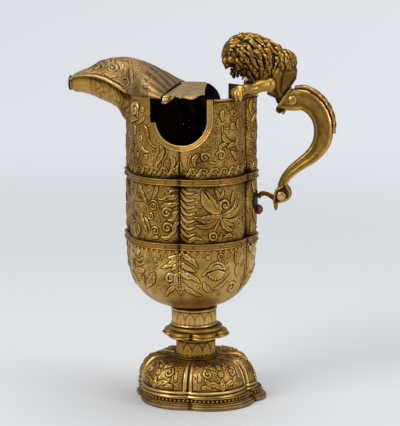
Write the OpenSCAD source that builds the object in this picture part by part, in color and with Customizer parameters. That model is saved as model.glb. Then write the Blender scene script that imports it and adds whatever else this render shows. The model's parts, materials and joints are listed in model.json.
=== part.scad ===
// Covered ewer with a lion handle, in gilt sheet metal and castings.
// +Z is up, the table is z = 0 and the origin is the middle of the foot.
// The spout points to -X and the handle to +X. Lengths are millimetres.

/* [Foot] */
// Distance of each foot lobe's centre from the foot's axis
foot_lobe_offset = 18.5; // [16:0.5:20]
// Radius of each lobe of the base flange
flange_lobe_r = 43; // [42:0.5:46]
// Height of the base flange
flange_h = 5.2; // [4:0.2:7]
// Width of the flange's flat underside
flange_w = 9; // [7.5:0.5:11]
// Radius of each lobe of the gallery, outside
gallery_lobe_r = 38.6; // [37.5:0.1:39]
// Height of the gallery
gallery_h = 5.8; // [5:0.2:8]
// Height of the domed foot above the gallery
dome_h = 27; // [24:1:32]
// Thickness of the foot's sheet
foot_wall = 1.8; // [1.4:0.1:2.4]
// Pearls along each wide lobe of the gallery
pearls_per_lobe = 18; // [12:1:20]

/* [Stem] */
// Radius of the lower stem drum
lower_stem_r = 19; // [17:0.5:20]
// Height of the lower stem drum
lower_stem_h = 18.4; // [15:0.2:22]
// Reach of the calyx petals from the stem's axis
calyx_r = 31.4; // [29:0.2:34]
// Height of the calyx
calyx_h = 7.4; // [6.6:0.2:9]
// Radius of the stem ring
stem_ring_r = 25; // [24:0.5:26.5]
// Height of the stem ring
stem_ring_h = 4.2; // [3.8:0.2:5]
// Radius of the upper stem drum
upper_stem_r = 21.4; // [20:0.2:22.5]
// Height of the upper stem drum
upper_stem_h = 17.4; // [14:0.2:22]
// Thickness of the recessed washer under the bowl
neck_washer_h = 1.6; // [1:0.2:3]
// Sheet thickness of the stem drums
stem_wall = 1.8; // [1.4:0.1:2.4]

/* [Body] */
// Distance of each body lobe's centre from the body's axis
lobe_offset = 16; // [14:0.5:18]
// Radius of each body lobe, outside
lobe_r = 44.4; // [42:0.2:47]
// Thickness of the body's sheet
wall = 1.6; // [1.2:0.1:2]
// Height of the bowl, from its flat underside to the lower band
bowl_h = 63; // [58:1:70]
// Height of the middle drum
middle_drum_h = 53; // [46:1:60]
// Height of the upper drum
upper_drum_h = 72; // [68:1:80]
// Height of each band
band_h = 6; // [5:0.5:8]
// How far each band stands out of the wall
band_out = 2.4; // [1.8:0.2:3]
// Rivets along each wide lobe of a band
rivets_per_lobe = 3; // [2:1:4]
// Radius of a rivet
rivet_r = 0.8; // [0.6:0.1:1]

/* [Cut-outs] */
// Inner radius of the side cut-outs
cutout_r = 23.2; // [21:0.2:24.5]
// Width of the moulding round the cut-outs
cutout_moulding_w = 5.4; // [4.4:0.2:6]
// Depth of the cut-outs' centre below the rim
cutout_drop = 18.4; // [16:0.2:22]
// Height of the rim moulding
rim_h = 4.6; // [4:0.2:6]
// How far the mouldings stand out of the wall
moulding_out = 1.1; // [0.8:0.1:1.6]

/* [Spout] */
// Reach of the spout's tip from the body's axis
spout_reach = 113.2; // [106:0.2:118]
// Height of the hood's crest above the rim
hood_h = 29.4; // [26:0.2:34]
// Drop of the spout's root below the rim
spout_drop = 29; // [26:0.5:34]
// Thickness of the spout and hood sheet
spout_wall = 1.4; // [1.1:0.1:1.8]
// Radius of the ring round the tip
tip_r = 7; // [6:0.2:8]

/* [Relief] */
// Height of the main leaves and scrolls above the sheet
relief_h = 0.9; // [0.5:0.1:1.3]

/* [Handle] */
// Reach of the handle's back beyond the body's side
handle_out = 70.2; // [66:0.2:76]
// Height of the handle's arch above its lower scroll
handle_h = 98.6; // [92:0.2:106]
// Thickness of the bar at its arch, seen from the side
bar_t = 19.6; // [17:0.2:21]
// Width of the bar at its arch, seen from the back
bar_w = 12.4; // [10:0.2:15]
// Height of the lower scroll's centre above the table
scroll_z = 192.6; // [188:0.2:197]
// Radius of the lower scroll
scroll_r = 8.6; // [7.6:0.2:9.4]
// Thickness of the tendril
tendril_t = 4; // [3:0.2:5]

/* [Lion] */
// Height of the lion's crown above the handle's joint
lion_h = 59.4; // [56:0.2:63]
// Radius of the lion's head
lion_head_r = 12.4; // [11.4:0.2:13.4]
// Half the distance between the forepaws
paw_spread = 34.5; // [33:0.5:36]

/* [Fastening] */
// Radius of the tie bolt
bolt_r = 3; // [2.5:0.1:3.5]
// Radius of the disc in the bowl
disc_r = 15; // [12:0.5:17]
// Side of the nut, across its flats
nut_w = 11; // [9.5:0.5:13]

/* [Hidden] */
$fn = 48;

// Gap between round faces that sit against each other, and the overrun of every cut
gap = 0.1;
over = 1;

// Each lobe's turn and half its share of the round: four wide lobes, and a narrow one at the
// handle and at the spout
wide_half = 36;
narrow_half = 18;
lobe_plan = [[0, narrow_half], [54, wide_half], [126, wide_half], [180, narrow_half], [234, wide_half],
    [306, wide_half]];
lobes = len(lobe_plan);

// The ewer leans: each storey's axis lies a little nearer the spout than the one below
body_x = -9.4;
upper_stem_x = -7;
lower_stem_x = -5.3;
dome_x = -3.6;
gallery_x = -1;

// Heights of the foot and the stem
gallery_z = flange_h;
dome_z = gallery_z + gallery_h;
dome_top = dome_z + dome_h;
collar_h = 2.6;
lower_stem_z = dome_top;
calyx_z = lower_stem_z + lower_stem_h;
stem_ring_z = calyx_z + calyx_h;
upper_stem_z = stem_ring_z + stem_ring_h;
neck_z = upper_stem_z + upper_stem_h;
bowl_z = neck_z + neck_washer_h;

// Heights of the body
lower_band_z = bowl_z + bowl_h;
middle_drum_z = lower_band_z + band_h;
upper_band_z = middle_drum_z + middle_drum_h;
upper_drum_z = upper_band_z + band_h;
rim_z = upper_drum_z + upper_drum_h;
body_r = lobe_offset + lobe_r;
cutout_z = rim_z - cutout_drop;
cutout_x = 1.4;
fringe_h = 3.2;

// Reach of the clefts between wide circles of radius r, offset_r off the axis
function cleft_reach(offset_r, r) =
    offset_r * cos(wide_half) + sqrt(pow(r, 2) - pow(offset_r * sin(wide_half), 2));

// A lobe's circle as [its middle's distance, its radius]. A narrow one stands out as far as the
// wide ones and meets them at their clefts
function lobe_circle(offset_r, r, half) =
    half == wide_half ? [offset_r, r] :
    let (cleft = cleft_reach(offset_r, r), side = cleft * sin(half),
         rise = offset_r + r - cleft * cos(half), small = (side * side + rise * rise) / (2 * rise))
    [offset_r + r - small, small];

// Circles round an axis, which make the lobed outline
module lobed(offset_r, r, fn = 120) {
    for (row = lobe_plan) let (ring = lobe_circle(offset_r, r, row[1]))
        rotate(row[0]) translate([ring[0], 0]) circle(r = ring[1], $fn = fn);
}

// A wall of the lobed outline, t thick, with its outside at lobe radius r
module lobed_wall(offset_r, r, t, h) {
    linear_extrude(h) difference() {
        lobed(offset_r, r);
        lobed(offset_r, r - t);
    }
}

// Half the angle that one lobe's free arc spans about the lobe's own centre
function arc_half(offset_r, r, half) =
    let (cleft = cleft_reach(offset_r, r))
    atan2(cleft * sin(half), cleft * cos(half) - lobe_circle(offset_r, r, half)[0]);

// Children placed along the lobed outline, count to a wide lobe and half as many to a narrow
// one, each turned to face outwards
module along_lobes(offset_r, r, count) {
    for (row = lobe_plan)
        let (ring = lobe_circle(offset_r, r, row[1]), swing = arc_half(offset_r, r, row[1]),
             here = row[1] == wide_half ? count : ceil(count / 2))
        for (k = [0 : here - 1])
            rotate(row[0]) translate([ring[0], 0])
                rotate(swing * (2 * k + 1 - here) / here) translate([ring[1], 0]) children();
}

// A curved sheet from two grids of points: outer[i][j] and inner[i][j]
module sheet(outer, inner) {
    rows = len(outer);
    cols = len(outer[0]);
    all_points = concat([for (row = outer) each row], [for (row = inner) each row]);
    shift = rows * cols;
    function at(i, j) = i * cols + j;
    faces = concat(
        [for (i = [0 : rows - 2], j = [0 : cols - 2], half = [0, 1]) half == 0 ?
            [at(i, j), at(i, j + 1), at(i + 1, j)] : [at(i, j + 1), at(i + 1, j + 1), at(i + 1, j)]],
        [for (i = [0 : rows - 2], j = [0 : cols - 2], half = [0, 1]) half == 0 ?
            [shift + at(i, j), shift + at(i + 1, j), shift + at(i, j + 1)] :
            [shift + at(i, j + 1), shift + at(i + 1, j), shift + at(i + 1, j + 1)]],
        [for (i = [0 : rows - 2], half = [0, 1]) half == 0 ?
            [at(i, 0), at(i + 1, 0), shift + at(i, 0)] :
            [at(i + 1, 0), shift + at(i + 1, 0), shift + at(i, 0)]],
        [for (i = [0 : rows - 2], half = [0, 1]) let (j = cols - 1) half == 0 ?
            [at(i + 1, j), at(i, j), shift + at(i, j)] :
            [at(i + 1, j), shift + at(i, j), shift + at(i + 1, j)]],
        [for (j = [0 : cols - 2], half = [0, 1]) half == 0 ?
            [at(0, j + 1), at(0, j), shift + at(0, j)] :
            [at(0, j + 1), shift + at(0, j), shift + at(0, j + 1)]],
        [for (j = [0 : cols - 2], half = [0, 1]) let (i = rows - 1) half == 0 ?
            [at(i, j), at(i, j + 1), shift + at(i, j)] :
            [at(i, j + 1), shift + at(i, j + 1), shift + at(i, j)]]);
    polyhedron(all_points, faces, convexity = 6);
}

// A bar lofted through closed rings of points, with flat ends
module loft(rings) {
    rows = len(rings);
    cols = len(rings[0]);
    all_points = [for (ring = rings) each ring];
    sides = [for (i = [0 : rows - 2], j = [0 : cols - 1], half = [0, 1])
        let (k = (j + 1) % cols) half == 0 ?
            [i * cols + j, (i + 1) * cols + j, i * cols + k] :
            [i * cols + k, (i + 1) * cols + j, (i + 1) * cols + k]];
    start = [for (j = [1 : cols - 2]) [0, j, j + 1]];
    finish = [for (j = [1 : cols - 2]) let (base = (rows - 1) * cols) [base, base + j + 1, base + j]];
    polyhedron(all_points, concat(sides, start, finish), convexity = 6);
}

// An oval ring in the plane x-z direction dir, round centre [x, z], t across and w wide
function oval_ring(centre, dir, t, w, sides) =
    [for (k = [0 : sides - 1]) let (angle = 360 * k / sides)
        [centre[0] + dir[1] * t / 2 * cos(angle), w / 2 * sin(angle),
         centre[1] - dir[0] * t / 2 * cos(angle)]];

// A smooth curve through points [a, b, ...], u running from 0 to the last point's number
function curve_at(points, u) =
    let (last = len(points) - 1, i = min(floor(u), last - 1), f = u - i,
         before = points[max(i - 1, 0)], from = points[i],
         to = points[i + 1], after = points[min(i + 2, last)])
    0.5 * (2 * from + (to - before) * f + (2 * before - 5 * from + 4 * to - after) * f * f
        + (3 * from - before - 3 * to + after) * f * f * f);

// Foot

module base_flange() {
    lip = flange_h / 3;
    color("darkgoldenrod") difference() {
        union() {
            linear_extrude(flange_h - lip) lobed(foot_lobe_offset, flange_lobe_r);
            linear_extrude(flange_h) lobed(foot_lobe_offset, flange_lobe_r - lip);
        }
        translate([0, 0, -over]) linear_extrude(flange_h + 2 * over)
            lobed(foot_lobe_offset, flange_lobe_r - flange_w);
    }
}

module foot_gallery() {
    ledge_w = 8;
    color("goldenrod") translate([gallery_x, 0, gallery_z]) union() {
        lobed_wall(foot_lobe_offset, gallery_lobe_r, foot_wall, gallery_h);
        translate([0, 0, gallery_h - foot_wall])
            lobed_wall(foot_lobe_offset, gallery_lobe_r, ledge_w, foot_wall);
    }
}

module gallery_pearls() {
    strip_t = foot_wall / 3;
    pearl_r = gallery_h / 4;
    strip_r = gallery_lobe_r + gap + strip_t;
    color("gold") translate([gallery_x, 0, gallery_z + gallery_h / 2]) union() {
        translate([0, 0, -pearl_r]) lobed_wall(foot_lobe_offset, strip_r, strip_t, 2 * pearl_r);
        along_lobes(foot_lobe_offset, strip_r, pearls_per_lobe) translate([-strip_t / 2, 0, 0])
            rotate([0, 90, 0]) cylinder(r = pearl_r * 0.9, h = pearl_r + strip_t / 2, $fn = 24);
    }
}

// The dome's shoulder: height as a share of the dome, lobe radius as a share of the gallery's
dome_share = [[0, 0.99], [0.06, 0.988], [0.12, 0.986], [0.18, 0.983], [0.26, 0.973], [0.34, 0.96],
    [0.42, 0.946], [0.50, 0.93], [0.58, 0.91], [0.66, 0.885], [0.74, 0.855], [0.82, 0.815], [0.89, 0.765],
    [0.95, 0.71], [0.985, 0.65], [1, 0.58]];

// Places round one lobe, from cleft to cleft as shares, close together beside the clefts
round_share = [0, 0.018, 0.043, 0.07, 0.10, 0.16, 0.22, 0.28, 0.34, 0.40, 0.46, 0.50, 0.54, 0.60,
    0.66, 0.72, 0.78, 0.84, 0.90, 0.93, 0.957, 0.982];

// Raised work on one lobe: place round the lobe, height share, half width and half height as shares
dome_boss_share = [[0.50, 0.22, 0.06, 0.16], [0.50, 0.52, 0.07, 0.12], [0.50, 0.88, 0.06, 0.12],
    [0.31, 0.55, 0.09, 0.13], [0.69, 0.55, 0.09, 0.13], [0.38, 0.30, 0.07, 0.09], [0.62, 0.30, 0.07, 0.09],
    [0.24, 0.22, 0.06, 0.08], [0.76, 0.22, 0.06, 0.08], [0.17, 0.36, 0.045, 0.13], [0.83, 0.36, 0.045, 0.13],
    [0.36, 0.80, 0.08, 0.09], [0.64, 0.80, 0.08, 0.09], [0.18, 0.74, 0.05, 0.10], [0.82, 0.74, 0.05, 0.10],
    [0.35, 0.96, 0.08, 0.05], [0.65, 0.96, 0.08, 0.05]];

function hill(d) = pow(max(0, 1 - d * d), 2);

// How far the dome's skin stands out at place u round a lobe and height share v
function dome_rise(u, v, half) =
    let (from_cleft = min(u, 1 - u) * half / wide_half,
         rib = v < 0.10 ? 0 : hill((from_cleft - 0.043) / 0.035) * 1.4,
         groove = hill(from_cleft / 0.02) * -1.1,
         hem = hill((v - 0.12) / 0.07) + hill(v / 0.05) * 1.3,
         boss = max([for (row = dome_boss_share) hill(norm([(u - row[0]) / row[2] / 1.5, (v - row[1]) / row[3] / 1.5]))]))
    relief_h * (rib + groove + hem + (from_cleft < 0.09 ? 0 : boss));

// One lobed ring of points at height z; lift holds how far each point stands out, or a single 0
function lobed_ring(offset_r, r, z, v) =
    [for (row = lobe_plan, u = round_share) let (
        turn = row[0], ring = lobe_circle(offset_r, r, row[1]),
        angle = arc_half(offset_r, r, row[1]) * (2 * u - 1),
        out = ring[1] + (v < 0 ? 0 : dome_rise(u, v, row[1])),
        spot = [ring[0] + out * cos(angle), out * sin(angle)])
        [spot[0] * cos(turn) - spot[1] * sin(turn), spot[0] * sin(turn) + spot[1] * cos(turn), z]];

// A hollow skin through rings of points, the last ring joined back to the first
module closed_loft(rings) {
    rows = len(rings);
    sides = len(rings[0]);
    polyhedron([for (ring = rings) each ring],
        [for (i = [0 : rows - 1], k = [0 : sides - 1], half = [0, 1])
            let (j = (i + 1) % rows, next = (k + 1) % sides) half == 0 ?
                [i * sides + k, j * sides + k, i * sides + next] :
                [i * sides + next, j * sides + k, j * sides + next]], convexity = 6);
}

module foot_dome() {
    narrow = foot_lobe_offset * 0.94;
    hole_r = bolt_r + gap;
    hole_x = lower_stem_x - dome_x;
    inner_h = dome_h - foot_wall;
    hole = [for (row = lobe_plan, u = round_share) let (turn = row[0] + row[1] * (2 * u - 1))
        [hole_x + hole_r * cos(turn), hole_r * sin(turn)]];
    color("gold") translate([dome_x, 0, dome_z]) closed_loft(concat(
        [for (row = dome_share) lobed_ring(narrow, row[1] * gallery_lobe_r, row[0] * dome_h, row[0])],
        [[for (spot = hole) [spot[0], spot[1], dome_h]], [for (spot = hole) [spot[0], spot[1], inner_h]]],
        [for (k = [15, 12, 9, 5, 0]) let (row = dome_share[k])
            lobed_ring(narrow, row[1] * gallery_lobe_r - foot_wall * 1.3, row[0] * inner_h, -1)]));
}

module foot_collar() {
    color("darkgoldenrod") translate([lower_stem_x, 0, dome_top]) difference() {
        rotate_extrude($fn = 96) translate([lower_stem_r + gap, 0])
            polygon([[0, 0], [collar_h, 0], [collar_h, collar_h / 3], [collar_h * 0.6, collar_h * 0.7],
                [collar_h * 0.6, collar_h], [0, collar_h]]);
    }
}

// Stem

// A hollow drum with a plate at top and bottom, which the tie bolt passes through
module stem_drum(r, h, lip) {
    difference() {
        rotate_extrude($fn = 96)
            polygon([[0, 0], [r + lip, 0], [r + lip, 2 * lip], [r, 3 * lip], [r - lip / 2, h / 2],
                [r, h - 3 * lip], [r + lip, h - 2 * lip], [r + lip, h], [0, h]]);
        translate([0, 0, stem_wall])
            cylinder(r = r - lip - stem_wall, h = h - 2 * stem_wall, $fn = 96);
        translate([0, 0, -over]) cylinder(r = bolt_r + gap, h = h + 2 * over);
    }
}

module lower_stem() {
    color("goldenrod") translate([lower_stem_x, 0, lower_stem_z])
        stem_drum(lower_stem_r - stem_wall / 3, lower_stem_h, stem_wall / 3);
}

module calyx_flange() {
    petal_offset = calyx_r * 0.56;
    edge_h = calyx_h * 0.22;
    root_r = upper_stem_r - stem_wall;
    color("goldenrod") translate([lower_stem_x, 0, calyx_z]) difference() {
        intersection() {
            linear_extrude(calyx_h) for (turn = [0 : 360 / lobes : 359])
                rotate(turn) translate([petal_offset, 0]) circle(r = calyx_r - petal_offset, $fn = 120);
            rotate_extrude($fn = 96)
                polygon([[0, 0], [root_r, 0], [calyx_r * 0.82, edge_h], [calyx_r, 2 * edge_h],
                    [calyx_r, 2.6 * edge_h], [calyx_r * 0.86, calyx_h * 0.75],
                    [stem_ring_r, calyx_h], [0, calyx_h]]);
        }
        translate([0, 0, -over]) cylinder(r = bolt_r + gap, h = calyx_h + 2 * over);
    }
}

module stem_ring() {
    color("darkgoldenrod") translate([lower_stem_x, 0, stem_ring_z]) difference() {
        rotate_extrude($fn = 96)
            polygon(concat([[0, 0]],
                [for (angle = [-90 : 15 : 90])
                    [stem_ring_r - stem_ring_h / 2 * (1 - cos(angle)), stem_ring_h / 2 * (1 + sin(angle))]],
                [[0, stem_ring_h]]));
        translate([0, 0, -over]) cylinder(r = bolt_r + gap, h = stem_ring_h + 2 * over);
    }
}

module upper_stem() {
    color("gold") translate([upper_stem_x, 0, upper_stem_z]) difference() {
        stem_drum(upper_stem_r - stem_wall / 4, upper_stem_h, stem_wall / 4);
        translate([lower_stem_x - upper_stem_x, 0, -over])
            cylinder(r = bolt_r + gap, h = upper_stem_h + 2 * over);
    }
}

module neck_washer() {
    color("saddlebrown") translate([upper_stem_x, 0, neck_z]) difference() {
        cylinder(r = upper_stem_r - stem_wall / 2, h = neck_washer_h, $fn = 96);
        translate([lower_stem_x - upper_stem_x, 0, -over])
            cylinder(r = bolt_r + gap, h = neck_washer_h + 2 * over);
    }
}

// Body

// Radius of the bowl's round underside at height h above its flat, inset by t
function bowl_half_width(h, t) =
    let (depth = bowl_h * 1.15, swell = 2.7, reach = body_r + wall / 2 - t,
         drop = min(1, max(0, (depth * 0.985 - h) / (depth - t))))
    reach * pow(1 - pow(drop, swell), 1 / swell);

module bowl_round(t) {
    steps = 26;
    rotate_extrude($fn = 144)
        polygon(concat([[0, t]],
            [for (k = [0 : steps]) let (h = t + (bowl_h - t) * pow(k / steps, 1.6))
                [bowl_half_width(h, t), h]],
            [[body_r + wall - t, bowl_h + over], [0, bowl_h + over]]));
}

module bowl() {
    color("gold") translate([body_x, 0, bowl_z]) difference() {
        union() {
            intersection() {
                linear_extrude(bowl_h) lobed(lobe_offset, lobe_r);
                bowl_round(0);
            }
            intersection() {
                drum_relief(bowl_first_share, bowl_second_share, bowl_h, lobe_r * 0.25);
                bowl_round(-relief_h);
            }
        }
        intersection() {
            linear_extrude(bowl_h + over) lobed(lobe_offset, lobe_r - wall);
            bowl_round(wall);
        }
        translate([lower_stem_x - body_x, 0, -over]) cylinder(r = bolt_r + gap, h = wall + 2 * over);
    }
}

// A band that covers the seam between two storeys, with a rounded edge above and below
module band() {
    edge = band_h / 5;
    difference() {
        union() {
            lobed_wall(lobe_offset, lobe_r + band_out * 0.6, band_out * 0.6 + wall, band_h);
            lobed_wall(lobe_offset, lobe_r + band_out, band_out, edge);
            translate([0, 0, band_h - edge]) lobed_wall(lobe_offset, lobe_r + band_out, band_out, edge);
        }
        along_lobes(lobe_offset, lobe_r + band_out, rivets_per_lobe) translate([0, 0, band_h / 2])
            rotate([0, -90, 0]) cylinder(r = rivet_r + gap / 2, h = band_out * 1.6, $fn = 20);
    }
}

// Round-headed rivets that stand in a band's blind holes
module band_rivets() {
    along_lobes(lobe_offset, lobe_r + band_out, rivets_per_lobe) translate([0, 0, band_h / 2])
        rotate([0, -90, 0]) {
            cylinder(r = rivet_r, h = band_out * 1.6 - gap / 2, $fn = 20);
            translate([0, 0, -rivet_r / 4]) cylinder(r = rivet_r, h = rivet_r / 4, $fn = 20);
        }
}

module lower_band() {
    color("goldenrod") translate([body_x, 0, lower_band_z]) band();
}

module upper_band() {
    color("goldenrod") translate([body_x, 0, upper_band_z]) band();
}

module lower_band_rivets() {
    color("saddlebrown") translate([body_x, 0, lower_band_z]) band_rivets();
}

module upper_band_rivets() {
    color("saddlebrown") translate([body_x, 0, upper_band_z]) band_rivets();
}

module lower_band_fringe() {
    strip_t = band_out / 4;
    bead_r = fringe_h / 2;
    beads_per_lobe = 11;
    strip_r = lobe_r + gap + strip_t;
    color("gold") translate([body_x, 0, lower_band_z - bead_r]) union() {
        lobed_wall(lobe_offset, strip_r, strip_t, bead_r);
        along_lobes(lobe_offset, strip_r, beads_per_lobe) translate([-strip_t / 2, 0, 0])
            rotate([0, 90, 0]) cylinder(r = bead_r, h = bead_r, $fn = 24);
    }
}

// Raised leaves and discs on one lobe of a drum. A leaf holds the points of its middle line and
// its half width; a disc its middle and radius. Across is a share of the lobe's radius from the
// lobe's middle, up is a share of the drum's height
middle_first_share = [
    [[[-0.22, 0.95], [-0.15, 0.83], [-0.09, 0.74], [0.01, 0.65]], 0.055],
    [[[-0.18, 0.47], [-0.155, 0.38], [-0.08, 0.26], [0.02, 0.15]], 0.05],
    [[[0.67, 0.84], [0.56, 0.79], [0.47, 0.82], [0.43, 0.92]], 0.058],
    [[[0.68, 0.70], [0.56, 0.67], [0.41, 0.66], [0.32, 0.60]], 0.05],
    [[[-0.60, 0.38], [-0.50, 0.30], [-0.38, 0.32]], 0.05],
    [[[0.68, 0.38], [0.60, 0.30], [0.58, 0.19], [0.47, 0.14]], 0.045],
    [[[0.15, 0.62]], 0.075], [[[0.08, 0.45]], 0.075], [[[0.19, 0.20]], 0.085], [[[0.44, 0.53]], 0.10],
    [[[0.45, 0.27]], 0.10], [[[-0.54, 0.81]], 0.09], [[[-0.40, 0.44]], 0.05]];
middle_second_share = [
    [[[0.12, 0.54], [0.02, 0.60], [-0.155, 0.72], [-0.24, 0.91]], 0.105],
    [[[0.13, 0.48], [-0.02, 0.43], [-0.19, 0.42], [-0.39, 0.46]], 0.10],
    [[[0.09, 0.41], [-0.07, 0.325], [-0.22, 0.30], [-0.38, 0.34]], 0.047],
    [[[0.20, 0.49], [0.38, 0.52], [0.50, 0.60], [0.54, 0.73]], 0.05],
    [[[0.20, 0.43], [0.36, 0.37], [0.54, 0.38], [0.63, 0.43]], 0.04],
    [[[0.18, 0.41], [0.24, 0.30], [0.34, 0.23], [0.47, 0.21]], 0.065],
    [[[0.40, 0.69], [0.46, 0.79], [0.47, 0.905]], 0.043],
    [[[0.26, 0.65]], 0.12], [[[-0.01, 0.125]], 0.095],
    [[[-0.675, 1.0], [-0.61, 0.91], [-0.51, 0.87], [-0.36, 0.9]], 0.035],
    [[[-0.675, 0.875], [-0.61, 0.79], [-0.51, 0.75], [-0.36, 0.775]], 0.035],
    [[[-0.675, 0.75], [-0.61, 0.665], [-0.51, 0.62], [-0.36, 0.65]], 0.035],
    [[[-0.675, 0.63], [-0.61, 0.54], [-0.51, 0.50], [-0.36, 0.53]], 0.035],
    [[[-0.675, 0.51], [-0.61, 0.42], [-0.51, 0.38], [-0.36, 0.41]], 0.035],
    [[[-0.675, 0.385], [-0.61, 0.30], [-0.51, 0.26], [-0.36, 0.29]], 0.035],
    [[[-0.675, 0.26], [-0.61, 0.18], [-0.51, 0.135], [-0.36, 0.165]], 0.035]];
upper_first_share = [
    [[[0.31, 0.42], [0.36, 0.35], [0.306, 0.26], [0.20, 0.17]], 0.05],
    [[[-0.45, 0.65], [-0.38, 0.57], [-0.40, 0.48]], 0.045],
    [[[-0.27, 0.91], [-0.31, 0.85], [-0.27, 0.74]], 0.05],
    [[[-0.19, 0.48]], 0.07], [[[-0.30, 0.26]], 0.068], [[[-0.04, 0.25]], 0.063],
    [[[-0.54, 0.43]], 0.085], [[[-0.49, 0.79]], 0.09], [[[-0.135, 0.85]], 0.07]];
upper_second_share = [
    [[[0.20, 0.55], [0.26, 0.49], [0.40, 0.45]], 0.054],
    [[[0.31, 0.40], [0.45, 0.42], [0.56, 0.39]], 0.045],
    [[[0.19, 0.86], [0.176, 0.80], [0.20, 0.71]], 0.05],
    [[[-0.31, 0.32], [-0.40, 0.25], [-0.38, 0.15]], 0.05],
    [[[0.60, 0.51], [0.56, 0.43], [0.58, 0.32]], 0.04],
    [[[0.44, 0.65]], 0.08], [[[0.49, 0.82]], 0.077], [[[-0.18, 0.28]], 0.095], [[[0.167, 0.29]], 0.10]];
bowl_first_share = [
    [[[0.67, 0.93], [0.61, 0.86], [0.50, 0.78], [0.31, 0.72]], 0.06],
    [[[0.68, 0.54], [0.56, 0.44], [0.41, 0.35], [0.29, 0.28]], 0.052],
    [[[0.13, 0.63], [0.06, 0.54], [-0.07, 0.46], [-0.22, 0.37]], 0.085],
    [[[-0.61, 0.89], [-0.52, 0.84], [-0.45, 0.76]], 0.043],
    [[[-0.65, 0.59], [-0.56, 0.49], [-0.49, 0.40]], 0.045],
    [[[0.51, 0.58]], 0.105], [[[-0.52, 0.68]], 0.085], [[[-0.25, 0.64]], 0.10], [[[-0.29, 0.91]], 0.055],
    [[[0.18, 0.83]], 0.058]];
bowl_second_share = [
    [[[-0.68, 0.94], [-0.56, 0.91], [-0.43, 0.84], [-0.33, 0.75]], 0.06],
    [[[-0.68, 0.82], [-0.58, 0.76], [-0.47, 0.72], [-0.37, 0.68]], 0.05],
    [[[-0.68, 0.70], [-0.58, 0.63], [-0.42, 0.60], [-0.26, 0.51]], 0.07],
    [[[-0.68, 0.53], [-0.57, 0.44], [-0.39, 0.35], [-0.18, 0.30]], 0.053],
    [[[0.06, 0.40], [0.20, 0.44], [0.33, 0.52], [0.42, 0.63]], 0.042],
    [[[-0.19, 0.52], [-0.15, 0.44], [-0.07, 0.38], [0.05, 0.36]], 0.04],
    [[[0.57, 0.91], [0.565, 0.84], [0.54, 0.76]], 0.05],
    [[[0.086, 0.66]], 0.20], [[[0.16, 0.895]], 0.068], [[[0.55, 0.39]], 0.12]];
upper_border_share = [for (across = [-0.756 : 0.216 : 0.757]) [[[across, 0.09]], 0.079]];

// The flat outline of one raised leaf or disc, drum height h
module motif_outline(row, h) {
    points = [for (spot = row[0]) [spot[0] * lobe_r, spot[1] * h]];
    half_w = row[1] * lobe_r;
    last = len(points) - 1;
    steps = 9;
    if (last == 0) translate(points[0]) circle(r = half_w, $fn = 18);
    else {
        sides = [for (k = [0 : steps]) let (u = last * k / steps, here = curve_at(points, u),
            way = curve_at(points, min(last, u + 0.1)) - curve_at(points, max(0, u - 0.1)),
            dir = way / norm(way), w = half_w * pow(sin(180 * (0.04 + 0.92 * k / steps)), 0.75))
            [here + w * [-dir[1], dir[0]], here - w * [-dir[1], dir[0]]]];
        polygon(concat([for (k = [0 : steps]) sides[k][0]], [for (k = [steps : -1 : 0]) sides[k][1]]));
    }
}

// All raised work of one lobe of radius r, as a layer that reaches depth into the wall and lies
// shift radians off the lobe's middle; side -1 mirrors it
module lobe_relief(rows, r, h, side, depth, shift) {
    mirror([0, side > 0 ? 0 : 1, 0]) intersection() {
        difference() {
            cylinder(r = r + relief_h, h = h);
            translate([0, 0, -over]) cylinder(r = r - depth, h = h + 2 * over);
        }
        for (row = rows) let (spots = row[0], middle = spots[floor(len(spots) / 2)][0] * lobe_r)
            rotate((middle / r + shift) * 180 / PI) translate([r - 2 * depth - 4 * wall, 0, 0]) rotate([90, 0, 90])
                linear_extrude(2 * depth + 8 * wall) translate([-middle, 0]) motif_outline(row, h);
    }
}

// Those motifs that a narrow lobe has room for
function narrow_rows(rows) =
    [for (row = rows) if (max([for (spot = row[0]) abs(spot[0])]) + row[1] < 0.38) row];

// Relief on all six lobes. The two patterns keep beside the clefts that they meet at, and the
// border runs round evenly
module drum_relief(first, second, h, depth, border = []) {
    shift_share = 0.135;
    small = lobe_circle(lobe_offset, lobe_r, narrow_half);
    for (row = [[234, first, 1, 1], [306, second, 1, -1], [54, second, -1, -1], [126, first, -1, 1]])
        rotate(row[0]) translate([lobe_offset, 0, 0]) {
            lobe_relief(row[1], lobe_r, h, row[2], depth, row[3] * shift_share);
            if (len(border) > 0) lobe_relief(border, lobe_r, h, 1, depth, 0);
        }
    for (row = [[0, first], [180, second]])
        rotate(row[0]) translate([small[0], 0, 0])
            lobe_relief(narrow_rows(concat(row[1], border)), small[1], h, 1, depth, 0);
}

module middle_drum() {
    clear_w = scroll_r * 1.2 + relief_h;
    color("gold") translate([body_x, 0, middle_drum_z]) union() {
        lobed_wall(lobe_offset, lobe_r, wall, middle_drum_h);
        difference() {
            drum_relief(middle_first_share, middle_second_share, middle_drum_h, wall / 2);
            translate([lobe_r, -clear_w, leaf_low - middle_drum_z - relief_h])
                cube([lobe_r, 2 * clear_w, leaf_top - leaf_low + 2 * relief_h]);
        }
    }
}

// The U-shaped side opening of radius r as a cutter that runs out to one side, -Y or +Y
module cutout_cutter(r, side) {
    reach = body_r + 2 * over + band_out;
    translate([cutout_x, 0, cutout_z]) mirror([0, side > 0 ? 1 : 0, 0]) {
        rotate([90, 0, 0]) cylinder(r = r, h = reach, $fn = 96);
        translate([-r, -reach, 0]) cube([2 * r, reach, cutout_drop + over]);
    }
}

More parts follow.
